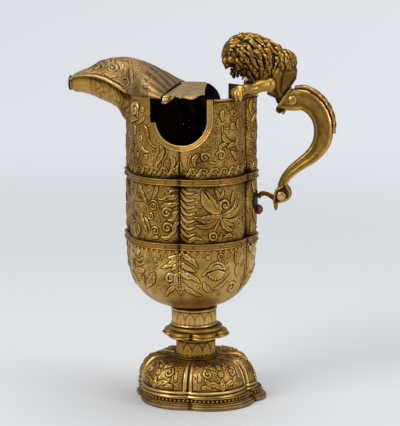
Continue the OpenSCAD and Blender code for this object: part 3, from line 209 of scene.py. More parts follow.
def mixMetal(name, tones, colours, roughHollow, roughTop, cloudy, cloudScale):
    material, tree, shader = newMaterial(name)
    tone = addNode(tree, "Attribute", {}, attribute_name="tone")
    place = addNode(tree, "TexCoord", {})
    cloud, grain = (addNode(tree, "TexNoise", {"Scale": scale, "Detail": detail, "Vector": (place, "Object")})
                    for scale, detail in ((cloudScale, metalLook["cloudDetail"]),
                                          (metalLook["grainScale"], metalLook["grainDetail"])))
    drift = addNode(tree, "Math", {0: (cloud, "Fac"), 1: cloudy, 2: -cloudy / 2}, operation="MULTIPLY_ADD")
    level = addNode(tree, "Math", {0: (tone, "Fac"), 1: (drift, "Value")}, operation="ADD", use_clamp=True)
    ramp = addNode(tree, "ValToRGB", {"Fac": (level, "Value")})
    steps = list(zip(tones, colours))
    for element, (spot, colour) in zip(ramp.color_ramp.elements, (steps[0], steps[-1])):
        element.position, element.color = spot, colour + (1,)
    for spot, colour in steps[1:-1]:
        ramp.color_ramp.elements.new(spot).color = colour + (1,)
    rough = addNode(tree, "MapRange", {"To Min": roughHollow, "To Max": roughTop, "Value": (level, "Value")})
    scuff = addNode(tree, "Math", {0: (grain, "Fac"), 1: metalLook["scuff"], 2: (rough, "Result")},
                    operation="MULTIPLY_ADD")
    bump = addNode(tree, "Bump", {"Strength": metalLook["bump"], "Distance": metalLook["bumpDepth"],
                                  "Height": (grain, "Fac")})
    wire(tree, shader, {"Metallic": 1.0, "Base Color": (ramp, "Color"), "Roughness": (scuff, "Value"),
                        "Normal": (bump, "Normal")})
    return material


finishes = {slot: mixMetal(*recipe) for slot, recipe in metals.items()}
slotOf = {part["node"]: part["material_slot"] for part in frame["record"]["subparts"]}
print("finishes are mixed")


# Meshes from grids of points

# Makes the piece that stands for one of the frame's nodes; its corners come in millimetres
def finishPiece(name, node, corners, faces, tone):
    mesh = bpy.data.meshes.new(name)
    corners = np.asarray(corners, float) * mm
    groups = faces if isinstance(faces, list) else [faces]
    loops = np.concatenate([group.ravel() for group in groups])
    sizes = np.concatenate([np.full(len(group), group.shape[1]) for group in groups])
    mesh.vertices.add(len(corners))
    mesh.vertices.foreach_set("co", corners.ravel())
    mesh.loops.add(len(loops))
    mesh.loops.foreach_set("vertex_index", loops.astype(np.int32))
    mesh.polygons.add(len(sizes))
    mesh.polygons.foreach_set("loop_start", (np.cumsum(sizes) - sizes).astype(np.int32))
    mesh.polygons.foreach_set("use_smooth", np.full(len(sizes), True))
    mesh.update(calc_edges=True)
    mesh.validate()
    layer = mesh.attributes.new("tone", "FLOAT", "POINT")
    layer.data.foreach_set("value", np.clip(np.broadcast_to(tone, len(corners)), 0, 1).astype(np.float32))
    mesh.materials.append(finishes[slotOf[node]])
    piece = bpy.data.objects.new(name, mesh)
    scene.collection.objects.link(piece)
    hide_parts(node)
    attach(piece, "root")


def gridFaces(rows, cols, wrapRows=False, wrapCols=False):
    index = np.arange(rows * cols).reshape(rows, cols)
    if wrapRows:
        index = np.vstack([index, index[:1]])
    if wrapCols:
        index = np.hstack([index, index[:, :1]])
    return np.stack([index[:-1, :-1], index[1:, :-1], index[1:, 1:], index[:-1, 1:]], axis=-1).reshape(-1, 4)


# A grid of points that closes on itself both ways
def gridPiece(name, node, spots, tones):
    faces = gridFaces(*spots.shape[:2], wrapRows=True, wrapCols=True)
    finishPiece(name, node, spots.reshape(-1, 3), faces, np.ravel(tones))


# Points at reach and turn round an upright axis
def around(axisX, reach, turns, heights):
    heights = np.broadcast_to(heights, reach.shape)
    return np.stack([axisX + reach * np.cos(turns), reach * np.sin(turns), heights], -1)


def circle(sides):
    angle = np.arange(sides) * tau / sides
    return np.cos(angle), np.sin(angle)


# A bell curve of half width wide about middle
def bell(value, middle, wide):
    return np.exp(-((value - middle) / wide) ** 2)


def joined(parts):
    corners, faces, tones, shift = [], [], [], 0
    for spots, quads, tone in parts:
        spots = np.asarray(spots, float).reshape(-1, 3)
        corners.append(spots)
        faces.append(np.asarray(quads) + shift)
        tones.append(np.broadcast_to(np.asarray(tone, float).ravel(), len(spots)))
        shift += len(spots)
    return np.vstack(corners), np.vstack(faces), np.concatenate(tones)


def smoothStep(low, high, value):
    t = np.clip((value - low) / (high - low), 0, 1)
    return t * t * (3 - 2 * t)


def spline(points, count):
    points = np.asarray(points, float)
    padded = np.vstack([2 * points[0] - points[1], points, 2 * points[-1] - points[-2]])
    u = np.linspace(0, len(points) - 1 - 1e-9, count)
    i = u.astype(int)
    f = (u - i)[:, None]
    a, b, c, d = padded[i], padded[i + 1], padded[i + 2], padded[i + 3]
    return 0.5 * (2 * b + (c - a) * f + (2 * a - 5 * b + 4 * c - d) * f ** 2 + (3 * b - a - 3 * c + d) * f ** 3)


def valueNoise(x, y, seed=0):
    def hashed(i, j):
        n = (i.astype(np.int64) * 73856093) ^ (j.astype(np.int64) * 19349663) ^ (seed * 83492791)
        n = (n ^ (n >> 13)) * 1274126177
        return ((n ^ (n >> 16)) & 1023) / 1023.0
    i, j = np.floor(x), np.floor(y)
    fx, fy = x - i, y - j
    fx, fy = fx * fx * (3 - 2 * fx), fy * fy * (3 - 2 * fy)
    low = hashed(i, j) * (1 - fx) + hashed(i + 1, j) * fx
    high = hashed(i, j + 1) * (1 - fx) + hashed(i + 1, j + 1) * fx
    return low * (1 - fy) + high * fy


# The lobed outline. Narrow circles stand out as far as the wide ones and meet their clefts

def cleftReach(offset, r):
    return offset * math.cos(wideHalf) + np.sqrt(np.maximum(r ** 2 - (offset * math.sin(wideHalf)) ** 2, 0))


def lobeCircle(offset, r, half):
    if half == wideHalf:
        return offset, r
    cleft = cleftReach(offset, r)
    side, rise = cleft * math.sin(half), offset + r - cleft * math.cos(half)
    small = (side ** 2 + rise ** 2) / (2 * rise)
    return offset + r - small, small


def lobedReach(turn, offset, r):
    turn, r = np.broadcast_arrays(np.asarray(turn, float), np.asarray(r, float))
    reach = np.zeros(turn.shape)
    for middle, half in lobePlan:
        away = (turn - middle + math.pi) % tau - math.pi
        far, radius = lobeCircle(offset, r, half)
        there = far * np.cos(away) + np.sqrt(np.maximum(radius ** 2 - (far * np.sin(away)) ** 2, 0))
        reach = np.where(np.abs(away) <= half + 1e-6, np.maximum(there, reach), reach)
    return reach


def arcHalf(offset, r, half=wideHalf):
    far, radius = lobeCircle(offset, r, half)
    cleft = cleftReach(offset, r)
    return float(radius * math.atan2(cleft * math.sin(half), cleft * math.cos(half) - far))


# How many steps each lobe gets, perLobe to a wide one
def lobeSteps(offset, r, perLobe):
    share = arcHalf(offset, r, narrowHalf) / arcHalf(offset, r)
    return [perLobe if half == wideHalf else round(perLobe * share) for _, half in lobePlan]


# Turns round the axis at equal steps along the outline, with one on each cleft
def outlineTurns(offset, r, perLobe):
    turns = []
    for (middle, half), steps in zip(lobePlan, lobeSteps(offset, r, perLobe)):
        far, radius = lobeCircle(offset, r, half)
        swing = arcHalf(offset, r, half) / radius
        a = np.linspace(-swing, swing, steps, endpoint=False)
        turns.append(middle + np.arctan2(radius * np.sin(a), far + radius * np.cos(a)))
    return np.concatenate(turns)


def turnFromCleft(turns):
    gaps = [np.abs((turns - middle - half + math.pi) % tau - math.pi) for middle, half in lobePlan]
    return np.min(gaps, axis=0)


# Places along the outline with the way outwards, count to a wide lobe and half as many to a narrow one
def alongLobes(offset, r, count):
    for middle, half in lobePlan:
        far, radius = lobeCircle(offset, r, half)
        here = count if half == wideHalf else math.ceil(count / 2)
        swing = arcHalf(offset, r, half) / radius
        for k in range(here):
            turn = middle + swing * (2 * k + 1 - here) / here
            way = np.array([math.cos(turn), math.sin(turn), 0])
            yield np.array([far * math.cos(middle), far * math.sin(middle), 0]) + way * radius, way


# Chased work is pressed into a field: heights over the distance along the outline and up it

def newField(offset, r, perLobe, low, high, rows):
    steps = np.array(lobeSteps(offset, r, perLobe))
    columns, length = steps.sum(), 2 * sum(arcHalf(offset, r, half) for _, half in lobePlan)
    step = length / columns
    first = np.concatenate([[0], np.cumsum(steps)[:-1]])
    s = np.arange(columns) * step
    clefts = first * step
    gap = np.abs((s[:, None] - clefts[None, :] + length / 2) % length - length / 2).min(1)
    return {"length": length, "s": s, "z": np.linspace(low, high, rows), "clefts": clefts, "fromCleft": gap,
            "middles": (first + steps / 2) * step, "rise": np.zeros((columns, rows)),
            "ground": np.ones((columns, rows))}


def windowOn(field, sMid, zMid, reach):
    step = field["length"] / len(field["s"])
    i = np.arange(math.floor((sMid - reach) / step), math.ceil((sMid + reach) / step) + 1)
    if len(i) > len(field["s"]):
        i = i[:len(field["s"])]
    j = np.flatnonzero(np.abs(field["z"] - zMid) <= reach)
    a, b = np.meshgrid(i * step - sMid, field["z"][j] - zMid, indexing="ij")
    return np.ix_(i % len(field["s"]), j), a, b


def press(field, where, gap, lift, cut=0.34, edge=0.5):
    old = field["rise"][where]
    inside = gap < 0
    line = cut * np.exp(-(gap / edge) ** 2) * np.where(inside, 0.45, 1.0)
    field["rise"][where] = np.where(inside, np.maximum(lift, old * 0.3), old) - line
    field["ground"][where] *= smoothStep(-0.1, 0.7, gap)


# Distance of each place to a path, and how far along the path that is
def alongPath(path, a, b):
    best, share = np.full(a.shape, 1e9), np.zeros(a.shape)
    last = len(path) - 1
    for k in range(last):
        p, way = path[k], path[k + 1] - path[k]
        t = np.clip(((a - p[0]) * way[0] + (b - p[1]) * way[1]) / max(way @ way, 1e-9), 0, 1)
        d = np.hypot(a - p[0] - t * way[0], b - p[1] - t * way[1])
        share = np.where(d < best, (k + t) / last, share)
        best = np.minimum(d, best)
    return best, share


def middleOf(points):
    points = np.asarray(points, float)
    mid = (points.min(0) + points.max(0)) / 2
    return mid, np.abs(points - mid).max()


def leaf(field, points, width, height=1.0, teeth=0, vein=0.4, hollow=0.0):
    path = spline(points, 16)
    mid, reach = middleOf(path)
    where, a, b = windowOn(field, mid[0], mid[1], reach + width * 1.3 + 1.5)
    d, share = alongPath(path - mid, a, b)
    half = width * np.sin(math.pi * np.clip(share, 0.02, 0.98) ** 0.75) ** 0.75 + 0.12
    if teeth:
        half = half * (1 - 0.2 * (0.5 + 0.5 * np.cos(tau * teeth * share)) ** 2)
    across = np.clip(d / half, 0, 1)
    lift = height * (0.3 + 0.7 * np.sqrt(1 - across ** 2))
    if hollow:
        lift = height * (1 - hollow * (1 - across ** 2))
    lift = lift * (1 - vein * np.exp(-(d / 0.45) ** 2))
    if teeth:
        lift = lift * (1 + 0.2 * np.cos(tau * (teeth * share + across * 0.8)))
    press(field, where, d - half, lift)


def stalk(field, points, width=0.8, height=0.7, taper=0.5):
    path = spline(points, 6 * len(points))
    mid, reach = middleOf(path)
    where, a, b = windowOn(field, mid[0], mid[1], reach + width + 1.5)
    d, share = alongPath(path - mid, a, b)
    half = width * (1 - taper * share)
    press(field, where, d - half, height * np.sqrt(1 - np.clip(d / half, 0, 1) ** 2), cut=0.26, edge=0.4)


def button(field, s, z, r, height=0.8, ringed=False):
    where, a, b = windowOn(field, s, z, r + 1.6)
    d = np.hypot(a, b)
    lift = height * np.sqrt(1 - np.clip(d / r, 0, 1) ** 2)
    if ringed:
        lift = height * (0.55 + 0.45 * np.cos(tau * np.clip(d / r, 0, 1) * 1.25)) * (d < r)
    press(field, where, d - r, lift, cut=0.3, edge=0.42)


def volute(field, s, z, r, turns=1.35, spin=1, start=0.0, width=0.95, height=0.8):
    t = np.linspace(0, 1, 9 + int(turns * 8))
    angle = start + spin * tau * turns * t
    reach = r * (1 - 0.86 * t)
    points = np.stack([s + reach * np.cos(angle), z + reach * np.sin(angle)], axis=1)
    stalk(field, points, width, height, 0.45)
    button(field, s, z, r * 0.24, height)


def flower(field, s, z, r, petals=6, height=0.9):
    where, a, b = windowOn(field, s, z, r * 1.2 + 1.5)
    d, angle = np.hypot(a, b), np.arctan2(b, a)
    edge = r * (0.78 + 0.22 * np.abs(np.cos(petals * angle / 2)))
    lift = height * (0.35 + 0.65 * np.sin(math.pi * np.clip(d / edge, 0, 1) ** 0.8)) \
        * (0.72 + 0.28 * np.abs(np.cos(petals * angle / 2)))
    press(field, where, d - edge, lift)
    button(field, s, z, r * 0.3, height * 0.9)


def shell(field, s, z, r, ribs=7, low=200, high=340):
    where, a, b = windowOn(field, s, z, r * 1.2 + 1.5)
    d, angle = np.hypot(a, b), np.degrees(np.arctan2(b, a)) % 360
    inFan = np.clip((angle - low) / (high - low), 0, 1)
    edge = r * (0.86 + 0.14 * np.abs(np.sin(math.pi * ribs * inFan)))
    outside = np.maximum(low - angle, angle - high) * math.pi / 180 * d
    gap = np.maximum(d - edge, outside)
    lift = (0.35 + 0.75 * np.clip(d / r, 0, 1)) * (0.55 + 0.45 * np.abs(np.sin(math.pi * ribs * inFan)))
    press(field, where, gap, lift)


# Presses a list of motifs into lobe number lobe; side -1 mirrors them. Places are measured
# from the lobe's middle, to the right seen from outside, and up from the table
def pressMotifs(field, lobe, motifs, side=1, shift=0.0, stretch=1.0):
    sMid = field["middles"][lobe]
    for kind, spots, *rest in motifs:
        spots = (np.atleast_2d(np.asarray(spots, float)) * [stretch, 1] + [shift, 0]) * [side, 1] + [sMid, 0]
        size = rest[0]
        extra = dict(rest[1]) if len(rest) > 1 else {}
        if kind in (leaf, stalk):
            kind(field, spots, size, **extra)
        elif kind is volute:
            start = extra.pop("start", 0.0)
            kind(field, *spots[0], size, spin=side * extra.pop("spin", 1),
                 start=start if side > 0 else math.pi - start, **extra)
        else:
            kind(field, *spots[0], size, **extra)


# Both patterns keep beside the clefts where they meet; narrow lobes get what they have room for
patternShift, narrowRoom = 6.0, 17.0


def pressPatterns(field, left, right):
    for lobe, motifs, side, shift in ((4, left, 1, 1), (5, right, 1, -1), (1, right, -1, -1), (2, left, -1, 1)):
        pressMotifs(field, lobe, motifs, side, shift * patternShift)
    for lobe, motifs in ((0, left), (3, right)):
        few = [row for row in motifs if max(abs(a) for a, z in row[1]) + row[2] < narrowRoom]
        pressMotifs(field, lobe, few)


def boxBlur(values, reach, wrap):
    out = values
    for axis in (0, 1):
        padding = [(reach, reach) if k == axis else (0, 0) for k in (0, 1)]
        total = np.cumsum(np.pad(out, padding, mode="wrap" if wrap and axis == 0 else "edge"), axis=axis)
        total = np.concatenate([np.zeros_like(np.take(total, [0], axis=axis)), total], axis=axis)
        spots, window = np.arange(out.shape[axis]), 2 * reach + 1
        out = (np.take(total, spots + window, axis=axis) - np.take(total, spots, axis=axis)) / window
    return out


# Tone from relief: lines and hollows hold brown dirt, edges are rubbed bright, and old
# wear leaves the gilding cloudy
def toneOf(rise, wrap=True, base=0.67, crevice=1.9, edge=0.22, seed=3):
    near = rise - boxBlur(rise, 2, wrap)
    wide = rise - boxBlur(rise, 9, wrap)
    rows, columns = np.meshgrid(np.arange(rise.shape[0]), np.arange(rise.shape[1]), indexing="ij")
    wear = valueNoise(rows * 0.045, columns * 0.05, seed) - 0.8 \
        + 0.6 * valueNoise(rows * 0.16, columns * 0.15, seed + 1)
    return base + crevice * np.minimum(near, 0) + edge * np.maximum(near, 0) \
        + 0.40 * np.minimum(wide, 0) + 0.06 * np.maximum(wide, 0) + 0.22 * wear


# Small curls, leaflets and buttons over what the main motifs leave bare, the larger ones first
def strew(field, seed, low, high, tries=700, sizes=(3.4, 2.6, 1.9), height=0.36):
    chance = np.random.default_rng(seed)
    for size in sizes:
        for s, z, turn, kind, bend in chance.uniform(0, 1, (tries, 5)):
            s, z, turn, bend = s * field["length"], low + z * (high - low), turn * tau, (bend - 0.5) * 1.6
            where, a, b = windowOn(field, s, z, size)
            inside = np.hypot(a, b) < size * 0.95
            if not inside.any() or field["ground"][where][inside].min() < 0.85:
                continue
            ahead = np.array([math.cos(turn), math.sin(turn)])
            aside = np.array([-math.sin(turn), math.cos(turn)])
            ends = [(s, z) + (ahead * t + aside * bend * (1 - t * t)) * size * 0.8 for t in (-1, 0, 1)]
            if kind < 0.34 or size < 1.5:
                leaf(field, ends, size * 0.36, height, 0, 0.5)
            elif kind < 0.72:
                spin = 1 if kind < 0.53 else -1
                volute(field, s, z, size * 0.8, spin=spin, start=turn, width=0.7, height=height)
            elif kind < 0.86:
                button(field, s, z, size * 0.6, height, ringed=True)
            else:
                flower(field, s, z, size * 0.75, 5, height)


# Fine punched ground and the slow dents of hand-worked sheet
def workedGround(field, seed, punch=0.07, dents=0.25):
    s, z = np.meshgrid(field["s"], field["z"], indexing="ij")
    fine = valueNoise(s * 1.25, z * 0.8, seed) - 0.5
    slow = valueNoise(s * 0.10, z * 0.09, seed + 5) - 0.5
    return punch * 2 * fine * field["ground"] + dents * slow


# Body

# the inner faces of the sheets are painted dark, as painted shade
bodyLook = {"perLobe": 140, "creaseDepth": 0.5, "creaseWidth": 1.4, "valley": 4.2, "ends": 9.0,
            "shadedInsideTone": 0.22, "insideRelief": 0.5}
bodyX, sheet = ewer["bodyX"], ewer["sheet"]
bodyLobes = ewer["lobeOffset"], ewer["lobeR"]
bodyTurns = outlineTurns(*bodyLobes, bodyLook["perLobe"])
bodyR = sum(bodyLobes)


def bodyField(node, step):
    low, high = boxOf(node)
    rows = int(round((high[2] - low[2]) / step)) + 1
    return newField(*bodyLobes, bodyLook["perLobe"], low[2] + 0.05, high[2] - 0.05, rows)


# Fills the bare ground, draws the clefts' lines and gives the tone of the whole
def wearIn(field, chance, low, high, tries, groundSeed):
    strew(field, chance, low, high, tries)
    d = field["fromCleft"][:, None]
    field["rise"] *= smoothStep(0, bodyLook["creaseWidth"] * 0.8, d)
    field["rise"] -= bodyLook["creaseDepth"] * bell(d, 0, bodyLook["creaseWidth"])
    field["rise"] += workedGround(field, groundSeed)
    return toneOf(field["rise"])


# Painted shade in the valleys beside the clefts, thickest where they run under the bands
def valleyShade(field, low, high):
    ends = bell(np.minimum(np.abs(field["z"] - low), np.abs(high - field["z"]))[None, :], 0, bodyLook["ends"])
    reach = bodyLook["valley"] * (0.55 + 1.1 * ends)
    return (0.20 + 0.26 * ends) * bell(field["fromCleft"][:, None], 0, reach)


def straightReach(z):
    return lobedReach(bodyTurns, *bodyLobes)[:, None] + 0 * z


# Turns a field into a closed sheet: outside with its relief, then back down the inside, which is painted dark
# as painted shade
def wallPiece(name, node, field, tone, cutAway=None):
    rows = len(field["z"])
    inRows = np.linspace(rows - 1, 0, max(rows // 6, 4)).astype(int)
    straight = straightReach(field["z"][None, :])
    inner = (straight - sheet + field["rise"] * bodyLook["insideRelief"])[:, inRows]
    reach = np.concatenate([straight + field["rise"], inner], axis=1)
    tones = np.concatenate([tone, np.full(inner.shape, bodyLook["shadedInsideTone"])], axis=1)
    heights = np.concatenate([field["z"], field["z"][inRows]])
    corners = around(bodyX, reach, bodyTurns[:, None], heights).reshape(-1, 3)
    faces = gridFaces(*reach.shape, wrapRows=True, wrapCols=True)
    if cutAway:
        corners, faces = cutAway(corners, faces)
    finishPiece(name, node, corners, faces, tones.ravel())


middleLeft = [
    (leaf, [(-10, 207), (-7.9, 201.3), (-3.9, 195.4), (0.6, 190.5)], 2.4, {"teeth": 3}),
    (leaf, [(11, 208), (9.1, 203), (5.6, 193.9)], 2.0),
    (stalk, [(-14, 208), (-17, 198), (-22, 190), (-25, 182)], 0.8),
    (volute, [(-24, 199)], 4.2, {"start": 1.2}), (button, [(-17.9, 179.3)], 2.2, {"ringed": True}),
    (leaf, [(-27, 176), (-22, 172), (-17, 173)], 2.2, {"teeth": 3}),
    (button, [(-26, 166)], 2.0), (leaf, [(-13, 160), (-11, 165), (-13, 171)], 2.0),
    (button, [(6.6, 188.9)], 3.4, {"ringed": True, "height": 1.0}),
    (button, [(3.6, 179.8)], 3.4, {"ringed": True, "height": 1.0}),
    (stalk, [(12, 186), (10.4, 192), (6, 194.2), (1.5, 191)], 0.9, {"taper": 0.2}),
    (leaf, [(-8, 181), (-6.9, 176), (-3.4, 170), (0.8, 164)], 2.2, {"teeth": 3}),
    (leaf, [(-3.4, 178), (0.4, 173), (3.4, 166)], 1.7),
    (volute, [(8.4, 166.4)], 4.0, {"start": 2.6, "spin": -1}),
    (leaf, [(12, 161), (9, 160.5), (5, 160)], 1.6),
    (stalk, [(30, 205), (24, 204), (20.5, 200), (16, 196), (12, 196.4)], 1.1, {"taper": 0.2}),
    (leaf, [(30, 200.5), (25, 198), (21, 199.5), (19, 205)], 2.6, {"teeth": 3}),
    (leaf, [(30.5, 193), (25, 191.5), (18, 191), (14, 188)], 2.3, {"teeth": 4}),
    (volute, [(19.6, 184.0)], 4.6, {"start": 0.6, "width": 1.4, "height": 1.1}),
    (leaf, [(30.5, 186), (27, 183), (25, 178), (20, 177)], 1.8),
    (volute, [(20.1, 170.2)], 4.6, {"start": 0.4, "width": 1.4, "height": 1.1}),
    (leaf, [(30.5, 176), (27, 172), (26, 166), (21, 163.5)], 2.0, {"teeth": 3}),
    (leaf, [(24, 163), (19, 160.5), (14, 162)], 1.7),
]
middleRight = [
    *[(leaf, [(-30, z), (-27.2, z - 4.6), (-22.5, z - 6.8), (-16, z - 5.6 + k * 0.3)], 1.55, {"vein": 0.15})
      for k, z in enumerate((209, 202.5, 196, 189.5, 183, 176.5, 170, 164.5))],
    *[(stalk, [(-16, z), (-13.6, z + 1.4), (-10.8, z + 0.4)], 0.55) for z in (201, 194, 187)],
    (leaf, [(5.4, 184.5), (1, 188), (-6.9, 194), (-10.8, 204.4)], 5.0,
     {"hollow": 0.75, "height": 1.3, "vein": 0}),
    (leaf, [(4, 188), (1.5, 193), (-3, 199), (-8, 206)], 1.5),
    (leaf, [(6, 181.5), (-1, 178.6), (-8.5, 178.4), (-17.5, 180.6)], 4.6, {"teeth": 5, "height": 1.1}),
    (leaf, [(4, 178), (-3, 173.2), (-10, 172), (-17, 174)], 2.1),
    (volute, [(11.4, 190.6)], 5.6, {"start": 3.9, "spin": -1, "width": 1.4, "height": 1.2}),
    (leaf, [(9, 182), (17, 183.4), (22, 188), (24, 195)], 2.3),
    (leaf, [(9, 180.4), (18, 180.4), (26, 184.5), (29, 190)], 1.9),
    (leaf, [(9, 178.6), (16, 175.4), (24, 176), (28, 179)], 1.8),
    (leaf, [(8, 178), (10.5, 172), (15.1, 168), (21, 167)], 2.9, {"teeth": 4, "height": 1.1}),
    (leaf, [(9.4, 177.6), (15, 173), (22, 171.4)], 1.6),
    (stalk, [(7.6, 181.5), (4.6, 175), (0.6, 168)], 1.2, {"taper": 0.2, "height": 0.9}),
    (button, [(-0.4, 162.6)], 4.2, {"ringed": True, "height": 1.0}),
    (leaf, [(5, 196), (4.2, 201), (0.8, 206)], 1.7), (leaf, [(5.2, 197), (8.6, 200.4), (9.4, 206)], 1.5),
    (button, [(5.0, 196.6)], 1.2),
    (leaf, [(18, 192.6), (20.4, 198), (21, 204)], 1.9), (button, [(29.4, 173.6)], 2.2, {"ringed": True}),
    (leaf, [(20, 161), (15, 162.6), (9, 160)], 1.8), (leaf, [(-22, 160), (-15, 161.5), (-9, 159.4)], 1.6),
]


def dressMiddle():
    field = bodyField("middle_drum", 0.52)
    pressPatterns(field, middleLeft, middleRight)
    low, high = field["z"][0], field["z"][-1]
    tone = wearIn(field, 21, low + 2, high - 2, 700, 11)
    # painted shade where the drum runs under the bands, and in the valleys beside the clefts
    edge = np.minimum(field["z"] - low, high - field["z"])[None, :]
    tone = tone - 0.34 * bell(edge, 0, 2.2) - valleyShade(field, low, high)
    wallPiece("middleDrum", "middle_drum", field, tone)


upperLeft = [
    (stalk, [(-2, 257), (0.5, 250), (6, 244.4), (10, 243)], 1.0),
    (leaf, [(-3, 262), (0, 257), (2, 250)], 1.6),
    (flower, [(-8.4, 249.8)], 3.2),
    (flower, [(-13.4, 233.6)], 3.0, {"petals": 5}),
    (flower, [(-1.9, 233.3)], 2.8),
    (leaf, [(14, 245), (16, 240), (13.6, 233.8), (9, 226), (9.6, 221)], 2.3, {"teeth": 3}),
    (stalk, [(19, 246), (20, 238), (16, 230), (17, 222)], 0.8),
    (leaf, [(-20, 262), (-17, 256), (-18, 250)], 2.0, {"teeth": 2}),
    (volute, [(-24, 246)], 3.8, {"start": 1.0}), (volute, [(-22, 272)], 4.0, {"start": 2.0, "spin": -1}),
    (leaf, [(-12, 283), (-14, 276), (-12, 268)], 2.2, {"teeth": 3}), (flower, [(-6, 276)], 3.2),
    (leaf, [(-3, 270), (-7, 266), (-13, 262)], 1.8),
    (stalk, [(-28, 262), (-23, 258), (-20, 240), (-26, 232)], 0.7),
    (leaf, [(-28, 236), (-23, 232), (-20, 226)], 1.8), (leaf, [(24, 236), (26, 230), (23, 223)], 2.0),
    (leaf, [(-7, 243), (-4, 239), (2, 238)], 1.5),
]
upperRight = [
    (stalk, [(8, 262), (9, 255), (12, 247), (15.5, 240), (14, 233)], 0.9),
    (leaf, [(9, 255), (11.5, 250), (18, 247.6)], 2.4, {"height": 1.3}),
    (leaf, [(14, 243.5), (20, 245.4), (25, 243)], 2.0), (leaf, [(12, 247), (7, 244.6), (5, 240)], 1.8),
    (flower, [(19.6, 261.8)], 3.6, {"petals": 5}),
    (leaf, [(8.6, 277), (7.8, 272.8), (8.8, 266.5)], 2.2, {"height": 1.1}),
    (stalk, [(13, 279), (18, 274), (17, 267)], 0.7), (volute, [(22, 274)], 3.4, {"start": 2.4}),
    (volute, [(-7.9, 235.2)], 4.2, {"start": 0.3, "width": 1.2}),
    (volute, [(7.4, 236.2)], 4.6, {"start": 2.8, "spin": -1, "width": 1.3}),
    (stalk, [(-4, 231), (1, 229.6), (4, 232)], 1.0, {"taper": 0.2}),
    (leaf, [(18, 239), (22, 236), (24, 230)], 1.9),
    (leaf, [(27, 252), (25, 246), (26, 238)], 1.8, {"teeth": 2}),
    (leaf, [(-14, 238), (-18, 233), (-17, 226)], 2.2, {"teeth": 3}),
    (stalk, [(-21, 237), (-23, 230), (-20, 222)], 0.8), (leaf, [(27, 268), (26, 262), (28, 257)], 1.6),
]


# broad curls on the wall between the spout's root and the opening
rootScrolls = [(volute, [(-12, 275)], 6.4, {"start": 0.4, "width": 2.2, "height": 1.5}),
               (leaf, [(-20, 263), (-15, 266), (-7, 266)], 2.8, {"height": 1.2})]
notch = {"x": 1.4, "z": boxOf("upper_drum")[1][2] - 18.4, "innerR": 23.2, "width": 5.4, "sheetR": 28.75}
upperLook = {"border": 9.6, "wideReach": 33.6, "narrowReach": 14.4, "rubbedS": 12, "rubbedZ": 276, "rubbed": 9}
# the opening's edge is drawn onto its line when nearer than snap; the spout's hole is a plain window
holeLook = {"snap": 0.34, "beyondY": 30, "spoutX": -45, "spoutHalf": 17, "spoutLow": 270}


def openSides(corners, faces):
    x = corners[:, 0] - bodyX - notch["x"]
    z = corners[:, 2] - notch["z"]
    straight = z > 0
    gap = np.where(straight, np.abs(x), np.hypot(x, z)) - notch["sheetR"]
    gap = np.where(np.abs(corners[:, 1]) < holeLook["beyondY"], 9, gap)
    near = np.abs(gap) < holeLook["snap"]
    size = np.maximum(np.hypot(x, z), 1e-6)
    corners = corners.copy()
    corners[near, 0] -= np.where(straight, np.sign(x) * gap, gap * x / size)[near]
    corners[near, 2] -= np.where(straight, 0, gap * z / size)[near]
    gap = np.where(near, 0, gap)
    inSpout = (corners[:, 0] < bodyX + holeLook["spoutX"]) & (np.abs(corners[:, 1]) < holeLook["spoutHalf"]) \
        & (corners[:, 2] > holeLook["spoutLow"])
    gap = np.where(inSpout, -9, gap)
    return corners, faces[gap[faces].mean(axis=1) > 0]


def dressUpper():
    field = bodyField("upper_drum", 0.56)
    low = field["z"][0]
    pressPatterns(field, upperLeft, upperRight)
    for lobe, (middle, half) in enumerate(lobePlan):
        reach = upperLook["wideReach"] if half == wideHalf else upperLook["narrowReach"]
        curls = np.arange(-reach, reach + 1, upperLook["border"])
        pressMotifs(field, lobe, [(volute, [(a, low + 6.5)], 3.5, {
            "start": 0.2 if k % 2 else 3.3, "spin": 1 if k % 2 else -1, "width": 1.0, "height": 0.55})
            for k, a in enumerate(curls)])
        pressMotifs(field, lobe, [(leaf, [(a + 1.8, low + 2), (a + 4.8, low + 5), (a + 7.4, low + 10.5)], 1.7,
                                   {"teeth": 2}) for a in curls[:-1]])
    for s in field["clefts"]:
        leaf(field, [(s, low + 3), (s, low + 9), (s, low + 17)], 3.8, 1.0, 4)
    besideSpout = ((4, 1), (2, -1))
    for lobe, side in besideSpout:
        pressMotifs(field, lobe, rootScrolls, side)
    tone = wearIn(field, 22, low + 12, field["z"][-1] - 6, 900, 23)
    # only the lower end runs under a band; painted shade there and in the valleys beside the clefts
    tone = tone - 0.36 * bell((field["z"] - low)[None, :], 0, 2.8) - valleyShade(field, low, low + 400)
    for lobe, side in besideSpout:
        middle, wide = field["middles"][lobe] - upperLook["rubbedS"] * side, upperLook["rubbed"]
        across = bell(field["s"][:, None], middle, wide)
        tone = tone + 0.20 * across * bell(field["z"][None, :], upperLook["rubbedZ"], wide)
    wallPiece("upperDrum", "upper_drum", field, tone, openSides)


